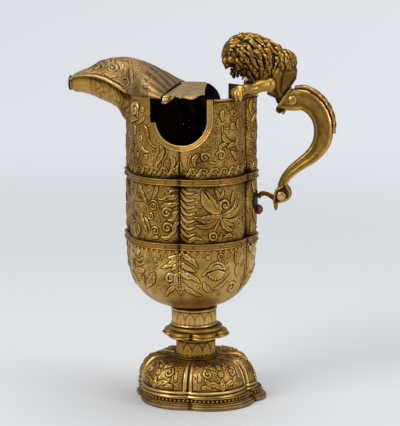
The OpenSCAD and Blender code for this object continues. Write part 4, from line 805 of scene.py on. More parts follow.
bowlLeft = [
    (leaf, [(30.5, 146), (27, 141), (22, 136), (13.6, 132.4)], 2.7, {"teeth": 4, "height": 1.2}),
    (leaf, [(30.5, 138), (27, 134), (24, 131)], 2.0), (leaf, [(30, 145.5), (25, 143), (20, 143)], 1.5),
    (volute, [(22.6, 123.4)], 5.0, {"start": 0.2, "width": 1.6, "height": 1.2}),
    (leaf, [(30.6, 129), (28, 125), (27, 119), (21, 117)], 2.0),
    (leaf, [(30.6, 121), (25, 115), (18, 109), (13, 104)], 2.3, {"teeth": 3}),
    (leaf, [(6, 127), (2.6, 121), (-3, 116), (-10, 110)], 4.0, {"hollow": 0.5, "teeth": 4}),
    (leaf, [(-8, 122), (-12, 116), (-12, 109)], 2.0),
    (leaf, [(-12.9, 147), (-12.9, 144.4), (-12.9, 141.5)], 2.6, {"vein": 0.1}),
    (stalk, [(-19, 139.4), (-13, 136.6), (-7, 139.4)], 1.2, {"taper": 0}),
    (stalk, [(-17, 134.6), (-12, 132.4), (-6, 134.8)], 1.2, {"taper": 0}),
    (shell, [(-11, 131)], 7.0, {"ribs": 5}), (volute, [(-23, 130)], 4.0, {"start": 1.6}),
    (leaf, [(-27, 143), (-23, 140), (-20, 135)], 1.9),
    (leaf, [(-29, 124), (-25, 118), (-22, 112)], 2.0, {"teeth": 3}),
    (flower, [(8, 139.5)], 2.6, {"petals": 5}),
]
bowlRight = [
    (leaf, [(-30.5, 147), (-25, 144.2), (-19, 140), (-14.5, 134)], 2.7, {"teeth": 4, "height": 1.2}),
    (leaf, [(-30.5, 139), (-26, 135), (-21, 132.6), (-16.4, 130)], 2.2),
    (leaf, [(-30.5, 131), (-26, 127), (-18.5, 125), (-11.5, 119)], 3.2, {"teeth": 3, "height": 1.1}),
    (leaf, [(-30.5, 120.6), (-25.4, 114.6), (-17.5, 109), (-8, 105.4)], 2.4, {"teeth": 3}),
    (stalk, [(-9.4, 126.8), (-6, 131), (-3, 133.6)], 1.1, {"taper": 0}),
    (stalk, [(-4.4, 131), (-1.4, 136.4), (3.8, 138), (9.6, 135.6), (12, 131)], 1.2, {"taper": 0}),
    (leaf, [(-3, 131.6), (3.8, 134.2), (10.8, 131.4)], 2.0), (shell, [(3.8, 131.6)], 10.6, {"ribs": 8}),
    (stalk, [(12.6, 128), (15.4, 130), (17, 133)], 0.9),
    (button, [(7.1, 143.4)], 3.0, {"ringed": True, "height": 1.1}),
    (stalk, [(6.6, 140.4), (6.0, 137.6)], 0.8), (button, [(-4.9, 143.4)], 2.4),
    (leaf, [(-8.4, 120), (-6.8, 114.6), (-3, 111), (2.4, 109.6)], 1.7),
    (leaf, [(-4.4, 117), (-2.6, 112.6), (1.6, 109)], 1.0),
    (leaf, [(2.6, 112.4), (9, 115), (14.6, 120), (18.6, 127)], 1.8),
    (stalk, [(4, 110), (12, 113.4), (17, 118)], 0.7),
    (volute, [(24.4, 111.4)], 5.4, {"start": 2.2, "spin": -1, "width": 1.5}),
    (leaf, [(25.4, 145.6), (25.1, 140), (24, 135)], 2.3, {"hollow": 0.6}),
    (leaf, [(29, 134), (26, 129), (26.4, 123)], 1.8, {"teeth": 3}),
]
bowlLook = {"swell": 2.7, "depth": 1.15, "melt": 0.9, "top": boxOf("bowl")[1][2], "low": boxOf("bowl")[0][2],
            "rows": 132, "insideRows": 26, "floorRings": 9, "bore": 3.2, "plainBelow": 96, "chasedAbove": 103}


# the bowl's reach at each height: straight walls that melt into a rounded bottom
def bowlReach(z):
    tall = (bowlLook["top"] - bowlLook["low"]) * bowlLook["depth"]
    drop = np.clip((tall * 0.985 - z + bowlLook["low"]) / tall, 0, 1)
    swell, melt, straight = bowlLook["swell"], bowlLook["melt"], straightReach(z)
    turned = (bodyR + 0.8) * (1 - drop ** swell) ** (1 / swell) + 0 * straight
    return -melt * np.log(np.exp(-straight / melt) + np.exp(-turned / melt))


def dressBowl():
    low, tall, rows = bowlLook["low"], bowlLook["top"] - bowlLook["low"], bowlLook["rows"]
    # rows are packed closer near the flat bottom, where the skin turns inwards
    share = np.linspace(0, 1, rows)
    heights = low + 0.05 + (tall - 0.1) * (0.35 * share ** 2.2 + 0.65 * share)
    field = newField(*bodyLobes, bodyLook["perLobe"], 0, 1, rows)
    field["z"] = heights
    pressPatterns(field, bowlLeft, bowlRight)
    strew(field, 24, 106, 147, 160)
    fade = smoothStep(bowlLook["plainBelow"], bowlLook["chasedAbove"], heights)[None, :]
    creaseDepth = bodyLook["creaseDepth"] * smoothStep(106, 116, heights)[None, :]
    field["rise"] *= fade
    field["rise"] -= creaseDepth * bell(field["fromCleft"][:, None], 0, 1.5)
    for s in field["clefts"]:
        for z in np.arange(114.5, 146, 2.05):
            button(field, s, z, 1.0, 0.75)
        for side in (-1, 1):
            stalk(field, [(s + side * 2.3, 147), (s + side * 2.2, 130), (s + side * 1.8, 115)], 0.55, 0.55, 0.2)
        leaf(field, [(s, 114), (s, 111), (s, 106.8)], 2.6, 1.0)
        for side in (-1, 1):
            leaf(field, [(s + side * 0.6, 112), (s + side * 3, 113.6), (s + side * 4.4, 116.6)], 1.2, 0.8)
    field["rise"] += workedGround(field, 31, 0.05, 0.15) * np.clip(fade + 0.3, 0, 1)
    # painted shade in the valleys beside the clefts, under the lower band at the top, and in the shadow gap at
    # the bottom
    tone = toneOf(field["rise"], base=0.81) - 0.7 * valleyShade(field, 40, heights[-1])
    tone = tone - 0.3 * bell((heights[-1] - heights)[None, :], 0, 2.0) \
        - 0.35 * bell((heights - heights[0])[None, :], 0, 1.2)
    plain = bowlReach(heights[None, :])
    outer = plain + field["rise"]
    rings, columns = bowlLook["floorRings"], len(bodyTurns)
    flat = np.broadcast_to(np.linspace(outer[:, 0].mean(), bowlLook["bore"], rings + 1)[1:], (columns, rings))
    inRows = np.linspace(0, rows - 1, bowlLook["insideRows"]).astype(int)[::-1]
    reach = np.concatenate([flat[:, ::-1], outer, (plain - sheet)[:, inRows], flat], axis=1)
    floorZ = heights[0] + sheet
    tallOf = np.concatenate([np.full(rings, heights[0]), heights, np.maximum(heights[inRows], floorZ),
                             np.full(rings, floorZ)])
    spots = around(bodyX, reach, bodyTurns[:, None], tallOf)
    # the bore follows the stem's axis, not the body's
    spots[reach < bowlLook["bore"] + 0.1, 0] += ewer["lowerStemX"] - bodyX
    # the flat underside and the inside are painted dark, as painted shade
    tones = np.concatenate([np.full((columns, rings), 0.4), tone,
                            np.full((columns, bowlLook["insideRows"] + rings), 0.25)], axis=1)
    gridPiece("chasedBowl", "bowl", spots, tones)


dressMiddle()
dressUpper()
dressBowl()
print("the chased body is raised")


# Mouldings that follow the lobed outline: a closed section of (outwards, up) points

def sweepOutline(name, node, lobes, section, axisX, z0, perLobe, tones, wobble=0.0):
    turns = outlineTurns(*lobes, perLobe)
    section = np.asarray(section, float)
    reach = np.stack([lobedReach(turns, lobes[0], lobes[1] + out) for out, up in section], axis=1)
    reach = reach + wobble * (valueNoise(turns[:, None] * 9, section[:, 1][None, :] * 0.6, 3) - 0.5)
    tone = np.asarray(tones, float) - 0.4 * bell(turnFromCleft(turns), 0, 0.035)[:, None]
    gridPiece(name, node, around(axisX, reach, turns[:, None], section[:, 1] + z0), tone)


# A small closed dome of radius r and height h at spot, standing along way
def domeAt(spot, way, r, h, rings=6, sides=16, tone=0.6, foot=0.5):
    way = np.asarray(way, float)
    across = np.cross([0, 0, 1.0], way)
    other = np.cross(way, across)
    rows = [(0.02, -foot), (1.0, -foot)]
    rows += [(math.cos(t), math.sin(t)) for t in np.linspace(0, math.pi / 2 * 0.985, rings)]
    c, s = circle(sides)
    ring = across * c[:, None] + other * s[:, None]
    spots = np.stack([spot + ring * r * reach + way * (h * up if up > 0 else up) for reach, up in rows], axis=1)
    caps = []
    for col, flip in ((0, -1), (len(rows) - 1, 1)):
        ids = np.arange(sides) * len(rows) + col
        caps += [[ids[0], *ids[k:k + 3]][::flip] for k in range(1, sides - 2, 2)]
    faces = np.vstack([gridFaces(sides, len(rows), wrapRows=True), caps])
    shade = np.broadcast_to([tone - 0.3] * 2 + [tone - 0.25 + 0.35 * k / (rings - 1) for k in range(rings)],
                            (sides, len(rows)))
    return spots, faces, shade


bandLook = {"out": 2.4, "flat": 1.55, "ridge": 0.10, "perLobe": 110, "rivet": 0.86, "rivetH": 0.6, "rivets": 3}
fringeLook = {"r": 1.55, "h": 1.45, "up": 1.75, "beads": 13}


def bandSection(height, steps=34):
    up = np.linspace(0, 1, steps)
    edge, ridge = np.minimum(up, 1 - up), bandLook["ridge"]
    stand = bandLook["out"] - bandLook["flat"]
    out = bandLook["flat"] + stand * bell(edge, ridge, 0.085) - 0.7 * bell(edge, 0, 0.03)
    tones = 0.68 + 0.28 * bell(edge, ridge, 0.09) - 0.22 * bell(edge, 0.25, 0.05)
    return [*zip(out, up * height), (-sheet, height), (-sheet, 0)], [*tones, 0.2, 0.2]


def domeRow(name, node, lobes, centre, count, **shape):
    parts = [domeAt(centre + spot, way, **shape) for spot, way in alongLobes(*lobes, count)]
    finishPiece(name, node, *joined(parts))


def dressBands():
    offset, r = bodyLobes
    for node, name in (("lower_band", "lowerBand"), ("upper_band", "upperBand")):
        low, high = boxOf(node)
        height = high[2] - low[2]
        section, tones = bandSection(height - 0.04)
        sweepOutline(name, node, bodyLobes, section, bodyX, low[2] + 0.02, bandLook["perLobe"], tones, 0.25)
        domeRow(name + "Rivets", node + "_rivets", (offset, r + bandLook["flat"] + 0.05),
                np.array([bodyX, 0, low[2] + height / 2]), bandLook["rivets"], r=bandLook["rivet"],
                h=bandLook["rivetH"], tone=0.8)
    low, high = boxOf("lower_band_fringe")
    domeRow("bandFringe", "lower_band_fringe", (offset, r + 0.2),
            np.array([bodyX, 0, low[2] + fringeLook["up"]]), fringeLook["beads"], r=fringeLook["r"],
            h=fringeLook["h"], tone=0.75, foot=0.1)


dressBands()
print("bands, rivets and fringe are on")


# Foot: flange, beaded gallery and the domed foot with its chased scrolls

flangeSection = [(-9, 0), (-1.3, 0), (-0.4, 0.25), (-0.02, 0.9), (0, 2.5), (-0.3, 3.1), (-1.0, 3.45),
                 (-1.5, 3.7), (-1.75, 4.3), (-2.2, 4.95), (-3.0, 5.2), (-9, 5.2)]
gallerySection = [(-8, 0), (-0.2, 0), (0.7, 0.2), (1.0, 0.6), (0.7, 1.05), (0.15, 1.3), (0.1, 2.9), (0.15, 4.5),
                  (0.7, 4.75), (1.0, 5.2), (0.7, 5.6), (-0.2, 5.8), (-8, 5.8)]


footRingLook = {"flangePerLobe": 120, "galleryPerLobe": 110, "pearls": 18, "pearlR": 1.25, "pearlH": 1.4,
                "pearlUp": 2.9, "pearlTall": 1.12}


def dressFootRings():
    offset = ewer["footOffset"]
    tones = [0.3, 0.4, 0.6, 0.7, 0.62, 0.75, 0.5, 0.35, 0.5, 0.72, 0.6, 0.3]
    sweepOutline("baseFlange", "base_flange", (offset, ewer["flangeR"]), flangeSection, 0, 0,
                 footRingLook["flangePerLobe"], tones, 0.3)
    low, high = boxOf("foot_gallery")
    tones = [0.2, 0.3, 0.7, 0.8, 0.55, 0.3, 0.2, 0.3, 0.6, 0.8, 0.7, 0.4, 0.3]
    sweepOutline("footGallery", "foot_gallery", (offset, ewer["galleryR"]), gallerySection, ewer["galleryX"],
                 low[2], footRingLook["galleryPerLobe"], tones)
    centre = np.array([ewer["galleryX"], 0, low[2] + footRingLook["pearlUp"]])
    parts = []
    for spot, way in alongLobes(offset, ewer["galleryR"] + 0.15, footRingLook["pearls"]):
        spots, faces, tone = domeAt(np.zeros(3), way, footRingLook["pearlR"], footRingLook["pearlH"],
                                    tone=0.56, foot=0.3)
        parts.append((spots * [1, 1, footRingLook["pearlTall"]] + centre + spot, faces, tone))
    finishPiece("galleryPearls", "gallery_pearls", *joined(parts))


# The dome's skin from its hem to the stem: height share, lobe radius as a share of the gallery's
domeLook = {"narrow": 17.39, "lobeR": 38.2, "rows": 118, "insideRows": 20, "perLobe": 116, "skin": 1.8,
            "profile": [(0, 0.99), (0.15, 0.985), (0.40, 0.95), (0.60, 0.905), (0.74, 0.855),
                        (0.84, 0.80), (0.92, 0.735), (0.97, 0.68), (0.995, 0.60), (1.0, 0.50),
                        (1.0, 0.38), (1.0, 0.24), (1.0, 0.04)]}


# A motif and its mirror
def twice(kind, spots, *rest):
    return [(kind, [(side * a, z) for a, z in spots], *rest) for side in (-1, 1)]


domeMotifs = [
    (leaf, [(0, 6), (0, 11), (0, 17)], 3.6, {"teeth": 3, "height": 1.2}),
    (flower, [(0, 21.5)], 3.6, {"petals": 6}),
    *twice(leaf, [(2, 8), (6, 12), (11, 13), (14.5, 18)], 2.6, {"teeth": 3, "height": 1.1}),
    (volute, [(-11.5, 22.5)], 4.6, {"start": 2.0, "width": 1.3, "height": 1.1}),
    (volute, [(11.5, 22.5)], 4.6, {"start": 1.1, "spin": -1, "width": 1.3, "height": 1.1}),
    *twice(leaf, [(4, 26), (8, 29.5), (13, 30)], 2.0, {"teeth": 2}),
    (leaf, [(0, 26), (0, 31), (0, 36)], 2.6, {"teeth": 3, "height": 1.1}),
    *twice(leaf, [(17, 8), (14, 10.4), (9, 8)], 1.9, {"teeth": 2}),
    *twice(leaf, [(19, 14), (18.5, 19), (19, 25)], 1.9, {"teeth": 3}),
    (volute, [(-8, 36)], 3.4, {"start": 4.2, "width": 1.1}),
    (volute, [(8, 36)], 3.4, {"start": 5.2, "spin": -1, "width": 1.1}),
    *twice(leaf, [(4, 39), (2, 43), (0, 46)], 1.6),
]


def dressDome():
    low, high = boxOf("foot_dome")
    galleryR, lobes, rows = ewer["galleryR"], (domeLook["narrow"], domeLook["lobeR"]), domeLook["rows"]
    stations = spline(domeLook["profile"], 300)
    stations[:, 0] = np.minimum(stations[:, 0], 1)
    lobeR, up = stations[:, 1] * galleryR, stations[:, 0] * (high[2] - low[2])
    along = np.concatenate([[0], np.cumsum(np.hypot(np.diff(lobeR), np.diff(up)))])
    length = along[-1]
    v = np.linspace(0, length, rows)
    lobeR, up = np.interp(v, along, lobeR), np.interp(v, along, up)
    turns = outlineTurns(*lobes, domeLook["perLobe"])[:, None]
    field = newField(*lobes, domeLook["perLobe"], 0, length, rows)
    few = [row for row in domeMotifs if max(abs(a) for a, z in row[1]) < 10]
    for lobe, (middle, half) in enumerate(lobePlan):
        motifs, stretch = (domeMotifs, 1.2) if half == wideHalf else (few, 0.9)
        pressMotifs(field, lobe, motifs, stretch=stretch)
    strew(field, 26, 7, length - 8)
    fromCleft, v = field["fromCleft"][:, None], field["z"][None, :]
    quiet = smoothStep(4.4, 5.6, fromCleft) * smoothStep(4.8, 6.0, v) * (1 - smoothStep(46, 49, v))
    # smooth ribs beside each cleft, and one above the hem
    upper = smoothStep(4.0, 6.5, v)
    rise = field["rise"] * quiet + upper * bell(fromCleft, 3.0, 1.7) - 0.4 * bell(fromCleft, 0, 1.3) \
        - upper * 0.5 * bell(fromCleft, 4.9, 0.6) + 1.1 * bell(v, 3.9, 1.1) - 0.5 * bell(v, 6.0, 0.7) \
        + 1.4 * bell(v, 0, 1.5) + workedGround(field, 47, 0.05, 0.2) * quiet
    # painted shade: the dome darkens towards its top, under the stem and the calyx
    tone = toneOf(rise, base=0.72) - 0.16 * bell(fromCleft, 0, 1.0) + 0.12 * (1 - quiet) \
        - 0.3 * smoothStep(length - 26, length - 8, v)
    reach = lobedReach(turns, lobes[0], lobeR[None, :])
    # the top closes as a round, so that the collar sits on it
    roundShare = (1 - smoothStep(0.20, 0.55, lobeR / galleryR))[None, :]
    reach = reach * (1 - roundShare) + (lobes[0] * 0.97 + lobeR)[None, :] * roundShare
    outwards = np.sqrt(np.clip(np.gradient(up, v[0]) ** 2, 0, 1))
    upwards = np.sqrt(1 - outwards ** 2)
    inRows = np.linspace(0, rows - 1, domeLook["insideRows"]).astype(int)[::-1]
    skin = domeLook["skin"]
    innerReach = (reach - skin * np.maximum(outwards, 0.2))[:, inRows]
    innerZ = np.broadcast_to(np.maximum(low[2] + up - skin * upwards, low[2])[inRows], innerReach.shape)
    heights = np.concatenate([low[2] + up + rise * upwards * 0.9 - 0.35 * upwards, innerZ], axis=1)
    reach = np.concatenate([reach + rise * outwards, innerReach], axis=1)
    tones = np.concatenate([tone, np.full(innerReach.shape, bodyLook["shadedInsideTone"])], axis=1)
    gridPiece("footDome", "foot_dome", around(ewer["domeX"], reach, turns, heights), tones)


dressFootRings()
dressDome()


# Round pieces: a closed outline of (radius, height) turned about an upright axis

def turnedPiece(name, node, axisX, outline, tones, sides, relief=None):
    outline = np.asarray(outline, float)
    turns = (np.arange(sides) * tau / sides)[:, None]
    reach = np.broadcast_to(outline[:, 0], (sides, len(outline)))
    tone = np.broadcast_to(np.asarray(tones, float), reach.shape)
    if relief:
        rise, extra = relief(turns, outline[None, :, 1], reach)
        reach, tone = reach + rise, tone + extra
    gridPiece(name, node, around(axisX, reach, turns, outline[:, 1]), tone)


# Closes an outline down the bore of the tie bolt
def bored(outer):
    outer, bore = np.asarray(outer, float), bowlLook["bore"]
    return np.vstack([outer, [(bore, outer[-1, 1]), (bore, outer[0, 1])]])


# Pointed leaves engraved side by side round a drum
def engravedLeaves(low, high, count, r):
    def relief(turn, z, reach):
        u = (turn * count / tau) % 1 - 0.5
        up = (z - low) / (high - low)
        outside = (reach > r - 1.2) & (up > 0.12) & (up < 0.9)
        point = np.abs(u) * 1.75 + np.clip((up - 0.15) / 0.70, 0, 1) ** 2.2
        line, inner = bell(point, 1, 0.075), bell(point, 0.78, 0.05)
        vein = bell(u, 0, 0.035) * (point < 0.95)
        body = (point < 0.78) * 0.16 * (0.5 + 0.5 * np.cos(tau * (up * 5 - np.abs(u) * 3)))
        between = point > 1.1
        dots = between * (np.abs(np.sin(u * tau * 2.5)) * np.abs(np.sin(up * 38)) > 0.55)
        rise = -0.42 * line - 0.2 * inner - 0.3 * vein + body + 0.16 * dots
        tone = -0.46 * line - 0.22 * inner - 0.26 * vein + 0.05 * (point < 0.95) - 0.12 * between + 0.12 * dots
        return rise * outside, tone * outside
    return relief


stemLook = {"lip": 0.65, "rows": 76, "sides": 560, "ringSides": 432, "beads": 54,
            "stems": [("lower_stem", "lowerStem", 18.5, "lowerStemX", 12, 0.70),
                      ("upper_stem", "upperStem", 21.05, "upperStemX", 14, 0.84)]}


def dressStems():
    for node, name, r, axis, count, base in stemLook["stems"]:
        low, high = boxOf(node)
        z = np.linspace(0, high[2] - low[2], stemLook["rows"])
        edge = np.minimum(z, z[-1] - z)
        bead = stemLook["lip"] * bell(edge, 1.3, 0.9) - 0.5 * bell(edge, 2.9, 0.45) - 0.8 * bell(edge, 0, 0.35)
        waist = stemLook["lip"] * 0.5 * np.sin(math.pi * z / z[-1])
        tones = base + 0.12 * bell(edge, 1.3, 0.7) - 0.3 * bell(edge, 2.9, 0.5) - 0.3 * bell(edge, 0, 0.5)
        turnedPiece(name, node, ewer[axis], bored(np.stack([r + bead - waist, z + low[2]], axis=1)),
                    [*tones, 0.3, 0.3], stemLook["sides"], engravedLeaves(low[2], high[2], count, r))
    axisX = ewer["lowerStemX"]
    low, high = boxOf("foot_collar")
    outline = [(19.1, 0), (21.3, 0), (21.6, 0.3), (21.6, 0.8), (21.0, 1.2), (20.5, 1.5), (20.9, 1.9),
               (20.7, 2.35), (20.1, high[2] - low[2]), (19.1, high[2] - low[2])]
    turnedPiece("footCollar", "foot_collar", axisX, np.array(outline) + [0, low[2]],
                [0.2, 0.35, 0.5, 0.55, 0.35, 0.25, 0.45, 0.55, 0.4, 0.2], 160)
    low, high = boxOf("stem_ring")
    angle = np.linspace(-math.pi / 2, math.pi / 2, 22)
    r, middleZ = high[0] + 5.3, (low[2] + high[2]) / 2
    ring = np.stack([r - 2.1 * (1 - np.cos(angle)), middleZ + 2.08 * np.sin(angle)], axis=1)

    def beaded(turn, z, reach):
        nick = bell((turn * stemLook["beads"] / tau) % 1, 0.5, 0.12) * bell(z, middleZ, 0.8) * (reach > r - 1.5)
        return -0.28 * nick, -0.3 * nick

    turnedPiece("stemRing", "stem_ring", axisX, bored(ring), [*(0.52 + 0.34 * np.cos(angle)), 0.2, 0.2],
                stemLook["ringSides"], beaded)
    low, high = boxOf("neck_washer")
    turnedPiece("neckWasher", "neck_washer", ewer["upperStemX"],
                bored([(20.2, low[2]), (20.5, low[2] + 0.4), (20.5, high[2] - 0.4), (20.2, high[2])]),
                [0.3, 0.5, 0.5, 0.3, 0.2, 0.2], 96)


# The calyx: six petals with bright rolled edges, deeply parted; its profile is shares of reach and height
calyxLook = {"r": 31.4, "root": 19.6, "offset": 0.56, "sides": 432, "rows": 46, "profile": [
    (0, 0), (0.16, 0.03), (0.34, 0.07), (0.54, 0.12), (0.74, 0.19), (0.9, 0.27), (1.0, 0.40), (1.0, 0.52),
    (0.955, 0.60), (0.90, 0.66), (0.87, 0.80), (0.84, 0.92), (0.80, 1.0)]}


def dressCalyx():
    low, high = boxOf("calyx_flange")
    sides, r, root = calyxLook["sides"], calyxLook["r"], calyxLook["root"]
    turns = (np.arange(sides) * tau / sides)[:, None]
    offset, petal = r * calyxLook["offset"], math.pi / 6
    fromLobe = np.abs((turns + petal) % (2 * petal) - petal)
    rim = offset * np.cos(fromLobe) + np.sqrt((r - offset) ** 2 - (offset * np.sin(fromLobe)) ** 2)
    fromLobe = fromLobe / petal
    table = spline(calyxLook["profile"], calyxLook["rows"])
    grow, up = table[:, 0][None, :], np.clip(table[:, 1], 0, 1)[None, :]
    veins = bell(fromLobe, 0, 0.05) + 0.7 * bell(fromLobe, 0.42, 0.06)
    cleft = bell(fromLobe, 1, 0.10)
    rib = bell(up, 0.44, 0.10) * (grow > 0.8)
    reach = root + (rim - root) * grow - 0.5 * veins * bell(grow, 0.6, 0.3) * (up < 0.35) \
        + 0.35 * rib - 1.2 * cleft * (grow > 0.5)
    reach = np.minimum(reach, r + 0.1)
    heights = np.clip(low[2] + up * (high[2] - low[2]) + 0.35 * cleft * (up < 0.4), low[2], high[2])
    tone = 0.62 + 0.30 * rib - 0.35 * cleft - 0.24 * veins * (up < 0.4) - 0.2 * (grow < 0.3) \
        - 0.22 * bell(up, 0.63, 0.06)
    column = np.ones((sides, 1))
    reach = np.hstack([reach, column * bowlLook["bore"], column * bowlLook["bore"]])
    heights = np.hstack([heights, column * high[2], column * low[2]])
    tone = np.hstack([tone, column * 0.2, column * 0.2])
    gridPiece("calyxFlange", "calyx_flange", around(ewer["lowerStemX"], reach, turns, heights), tone)


dressStems()
dressCalyx()
print("foot and stem are dressed")


# Bars: rings of points swept along, closed at both ends

def endFans(rows, cols, first, last):
    start, end = np.arange(cols), (rows - 1) * cols + np.arange(cols)
    return [np.stack([np.roll(start, -1), start, np.full(cols, first)], axis=1),
            np.stack([end, np.roll(end, -1), np.full(cols, last)], axis=1)]


def ringsPiece(name, node, rings, tones):
    rings = np.asarray(rings, float)
    rows, cols = rings.shape[:2]
    corners = np.vstack([rings.reshape(-1, 3), rings[0].mean(0), rings[-1].mean(0)])
    tones = np.broadcast_to(np.asarray(tones, float), (rows, cols)).ravel()
    tones = np.concatenate([tones, [tones[0], tones[-1]]])
    faces = [gridFaces(rows, cols, wrapCols=True), *endFans(rows, cols, rows * cols, rows * cols + 1)]
    finishPiece(name, node, corners, faces, tones)


# A curved sheet from the grids of its two faces, closed along its four edges; the inner face is painted dark as
# painted shade
def sheetPiece(name, node, outer, inner, tone):
    rows, half = outer.shape[:2]
    corners = np.concatenate([outer, inner[:, ::-1]], axis=1)
    tones = np.concatenate([tone, np.full((rows, half), bodyLook["shadedInsideTone"])], axis=1)
    faces = [gridFaces(rows, 2 * half, wrapCols=True)]
    for row, flip in ((0, 1), (rows - 1, -1)):
        a = row * 2 * half + np.arange(half)
        b = row * 2 * half + 2 * half - 1 - np.arange(half)
        faces.append(np.stack([a[:-1], a[1:], b[1:], b[:-1]], axis=1)[:, ::flip])
    finishPiece(name, node, corners.reshape(-1, 3), faces, tones.ravel())


# Half width of the body's outline at x, with the wall grown by extra
def outlineY(x, extra=0.0):
    r, offset = ewer["lobeR"] + extra, ewer["lobeOffset"]
    wideX = np.abs(x) - offset * math.sin(wideHalf)
    front = offset * math.cos(wideHalf) + np.sqrt(np.maximum(r ** 2 - wideX ** 2, 0))
    far, radius = lobeCircle(offset, r, narrowHalf)
    end = np.sqrt(np.maximum(radius ** 2 - (np.abs(x) - far) ** 2, 0))
    return np.maximum(np.where(np.abs(wideX) < r, front, 0), end)


# Rim: a swept moulding over the handle's half, parted at the notches. Section: outwards, up, tone
rimLook = {"startX": 30.2, "steps": 240, "section": [
    (0.1, 0, 0.2), (0.9, 0.1, 0.5), (1.2, 0.6, 0.7), (1.0, 1.1, 0.5), (0.75, 1.5, 0.3), (0.7, 2.6, 0.42),
    (0.95, 3.0, 0.4), (1.5, 3.3, 0.6), (1.7, 3.8, 0.8), (1.5, 4.35, 0.78), (0.9, 4.6, 0.6), (0.1, 4.6, 0.3)]}
# the opening's frame: where its three ribs lie across it, how wide and how high they are
frameLook = {"steps": 260, "across": 30, "flat": 0.35, "highest": 1.08, "back": 1.35,
             "ribs": [(0.16, 0.13, 0.95), (0.52, 0.09, 0.55), (0.88, 0.11, 0.85)]}


def dressRim():
    low, high = boxOf("rim_moulding")
    half = math.atan2(float(outlineY(np.array(rimLook["startX"]))), rimLook["startX"])
    turns = np.linspace(-half, half, rimLook["steps"])[:, None]
    out, up, tones = np.array(rimLook["section"]).T
    reach = lobedReach(turns, bodyLobes[0], bodyLobes[1] + out[None, :])
    ringsPiece("rimMoulding", "rim_moulding", around(bodyX, reach, turns, low[2] + up), tones[None, :])


# Three ribs that run down one arm, round and up the other
def dressNotchFrame(name, node, side, start):
    low, high = boxOf(node)
    inner, width = notch["innerR"], notch["width"]
    arm, bend = high[2] - notch["z"], math.pi * (inner + width / 2)
    across = np.linspace(0, 1, frameLook["across"])
    ribs = sum(tall * bell(across, middle, wide) for middle, wide, tall in frameLook["ribs"])
    lift = frameLook["flat"] + ribs
    toneAcross = 0.52 + 0.42 * ribs
    rho = inner + 0.04 + across * (width - 0.08)
    rows, tones = [], []
    for d in np.linspace(start, 1, frameLook["steps"]) * (2 * arm + bend):
        if d < arm:
            x, z = -rho, arm - d + 0 * rho
        elif d < arm + bend:
            angle = math.pi + (d - arm) / bend * math.pi
            x, z = rho * math.cos(angle), rho * math.sin(angle)
        else:
            x, z = rho, d - arm - bend + 0 * rho
        x, z = x + notch["x"], z + notch["z"]
        beat = 0.86 + 0.14 * valueNoise(np.array(d * 0.5), np.array(0.0), 9)
        y = outlineY(x) + np.minimum(lift * beat, frameLook["highest"])
        outer = np.stack([bodyX + x, side * y, z], axis=-1)
        hidden = np.stack([bodyX + x, side * (outlineY(x) - frameLook["back"]), z], axis=-1)[::-6]
        rows.append(np.concatenate([outer, hidden]))
        tones.append(np.concatenate([toneAcross, np.full(len(hidden), 0.25)]))
    ringsPiece(name, node, rows, np.array(tones))


dressRim()
# the near frame starts below the broken upper left arm
dressNotchFrame("nearNotchFrame", "near_cutout_moulding", -1, 0.1825)
dressNotchFrame("farNotchFrame", "far_cutout_moulding", 1, 0.0)
print("rim and frames are on")


# Spout and hood. Stations as shares: x, crest, seam, floor and half width
spoutLook = {"reach": 113.2, "hoodH": 29.4, "drop": 29.0, "sheet": 1.4, "rim": boxOf("upper_drum")[1][2],
             "flutes": 27, "hoodSteps": 13, "hoodAcross": 210, "troughSteps": 20, "troughAcross": 130}
spoutShare = np.array([
    [1.000, 0.34, 0.24, 0.02, 0.085], [0.960, 0.47, 0.36, 0.12, 0.150], [0.900, 0.58, 0.42, 0.13, 0.215],
    [0.840, 0.66, 0.45, 0.18, 0.265], [0.755, 0.87, 0.43, 0.31, 0.330], [0.670, 0.95, 0.36, 0.43, 0.390],
    [0.590, 0.99, 0.22, 0.58, 0.440], [0.533, 0.99, 0.10, 0.96, 0.455]])
rootShare = np.array([[0.500, 0, 0, 0.96, 0.455], [0.420, 0, 0, 0.96, 0.455]])
hoodShare = np.array([[0.500, 0.985], [0.420, 0.90], [0.340, 0.74], [0.260, 0.52], [0.190, 0.28],
                      [0.150, 0.13]])


def spoutX(share):
    root = spoutShare[-1][0]
    return -bodyR - (spoutLook["reach"] - bodyR) * (share - root) / (1 - root)


def hoodStations():
    rim, tall = spoutLook["rim"], spoutLook["hoodH"]
    rows = [(spoutX(r[0]), rim + r[1] * tall, rim + r[2] * tall, r[4] * bodyR) for r in spoutShare]
    rows += [(spoutX(r[0]), rim + r[1] * tall, rim + 0.1,
              max(float(outlineY(np.array(spoutX(r[0])))), spoutShare[-1][4] * bodyR)) for r in hoodShare]
    return np.array(rows)


# More stations between those of a table, eased a little at each
def finer(table, perStep):
    f = np.arange(perStep)[:, None] / perStep
    g = f * f * (3 - 2 * f) * 0.25 + f * 0.75
    rows = [a * (1 - g) + b * g for a, b in zip(table[:-1], table[1:])]
    return np.vstack([*rows, table[-1]])


# The skin of hood or trough over its stations: x, top or floor, edge and half width
def spoutGrid(table, inset, angles, power, rise=0.0, spread=1.0):
    x, far, edge, half = (table[:, k][:, None] for k in range(4))
    way = np.sign(far[0] - edge[0])
    bow = np.maximum(np.cos(angles), 0) ** power
    y = (half - inset + rise * spread) * np.sin(angles)
    z = edge + (far - edge - way * inset) * bow + way * rise * spread * np.cos(angles)
    return np.stack([bodyX + x + 0 * y, y, z], axis=-1)


